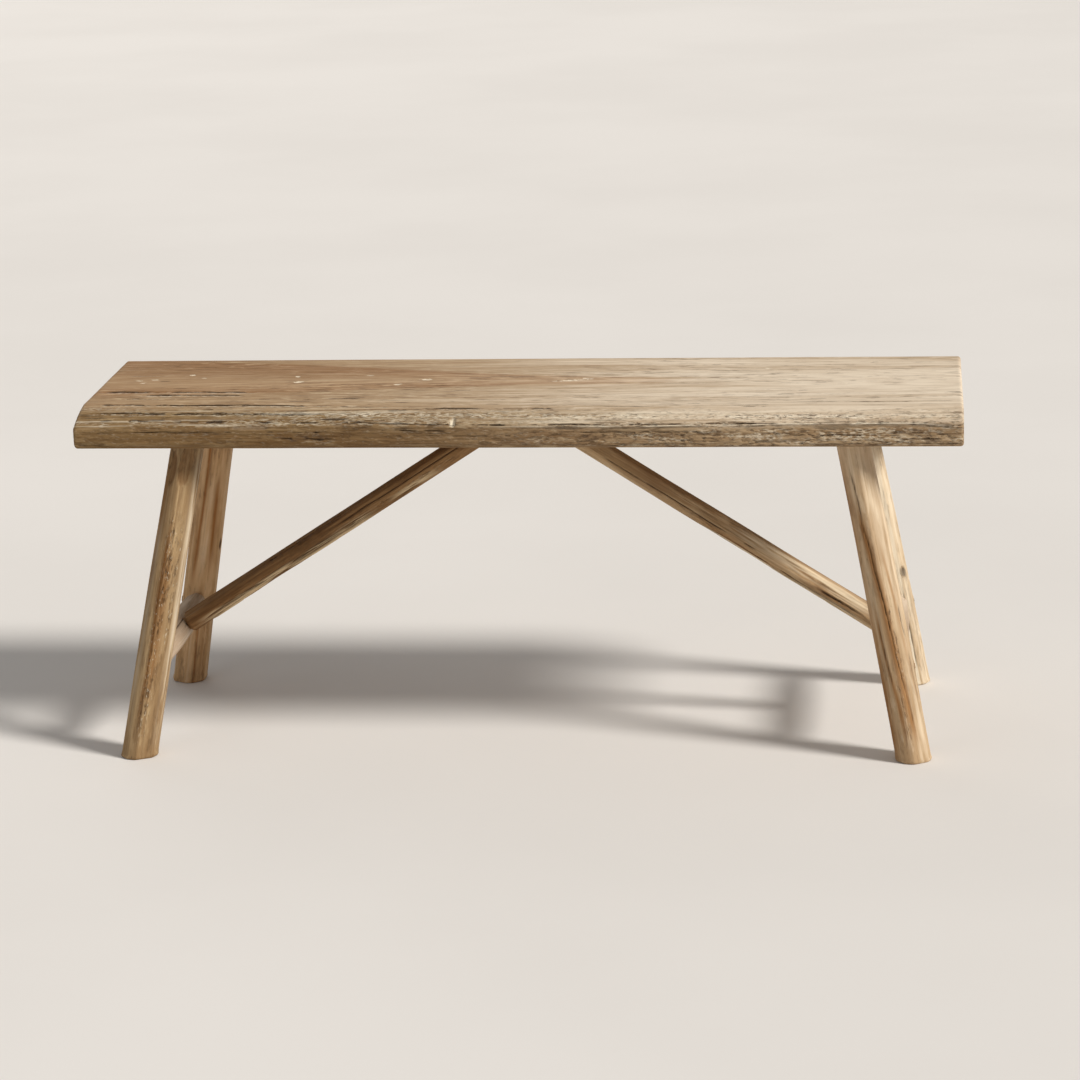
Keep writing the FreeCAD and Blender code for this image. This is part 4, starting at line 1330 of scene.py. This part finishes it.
def build_world():
    """Soft even light, seen directly as a pale backdrop like the floor."""
    world = bpy.data.worlds.new("studio")
    world.use_nodes = True
    tree = world.node_tree
    rays = add_node(tree, "LightPath", {}).outputs
    seen = rays["Is Camera Ray"]
    for kind in ("Is Glossy Ray", "Is Transmission Ray"):
        seen = add_node(tree, "Math", {0: seen, 1: rays[kind]}, operation="MAXIMUM").outputs[0]
    strength = add_node(tree, "MapRange", {"Value": seen, "To Min": 0.28, "To Max": 0.76})
    background = tree.nodes["Background"].inputs
    put(tree, background["Color"], (1.0, 0.975, 0.945))
    put(tree, background["Strength"], strength.outputs["Result"])
    bpy.context.scene.world = world


# The photograph's viewpoint
VIEW_FROM = (0.4956, -4.4462, 1.4297)
YAW = math.radians(6.195)
PITCH = math.radians(14.871)
ROLL = math.radians(-1.633)
SENSOR = 36.0
FOCAL_PIXELS = 3543.4
PHOTO_PIXELS = 1080


def place_camera():
    lens = bpy.data.cameras.new("camera")
    lens.sensor_fit = "HORIZONTAL"
    lens.sensor_width = SENSOR
    lens.lens = SENSOR * FOCAL_PIXELS / PHOTO_PIXELS
    lens.clip_end = 100
    forward = Vector((-math.sin(YAW) * math.cos(PITCH), math.cos(YAW) * math.cos(PITCH), -math.sin(PITCH)))
    level = Vector((math.cos(YAW), math.sin(YAW), 0))
    upright = level.cross(forward)
    right = level * math.cos(ROLL) + upright * math.sin(ROLL)
    above = upright * math.cos(ROLL) - level * math.sin(ROLL)
    turn = Matrix((right, above, -forward)).transposed().to_4x4()
    camera = bpy.data.objects.new("camera", lens)
    camera.matrix_world = Matrix.Translation(VIEW_FROM) @ turn
    bpy.context.scene.collection.objects.link(camera)
    bpy.context.scene.camera = camera


add_plank()
for number, (leg, facts) in enumerate(LEGS.items()):
    add_leg(number, leg, facts)
for number, (name, side) in enumerate(SIDES.items()):
    add_rail(number, name, side)
    add_brace(number, name, side)
paint_fastenings()
build_floor()
add_lamp("key", "SUN", (4.9, -1.8, 4.3), (0, 0, 0.2), 3.3, (1.0, 0.965, 0.91), math.radians(13))
add_lamp("back_fill", "AREA", (-5.0, 9.5, 6.5), (0, 0, 0.3), 100, (1.0, 0.98, 0.95), 7.0)
add_lamp("fill", "AREA", (-3.4, -4.2, 2.2), (0, 0, 0.3), 18, (0.97, 0.98, 1.0), 3.0)
build_world()
place_camera()
bpy.context.scene.view_settings.view_transform = "Standard"
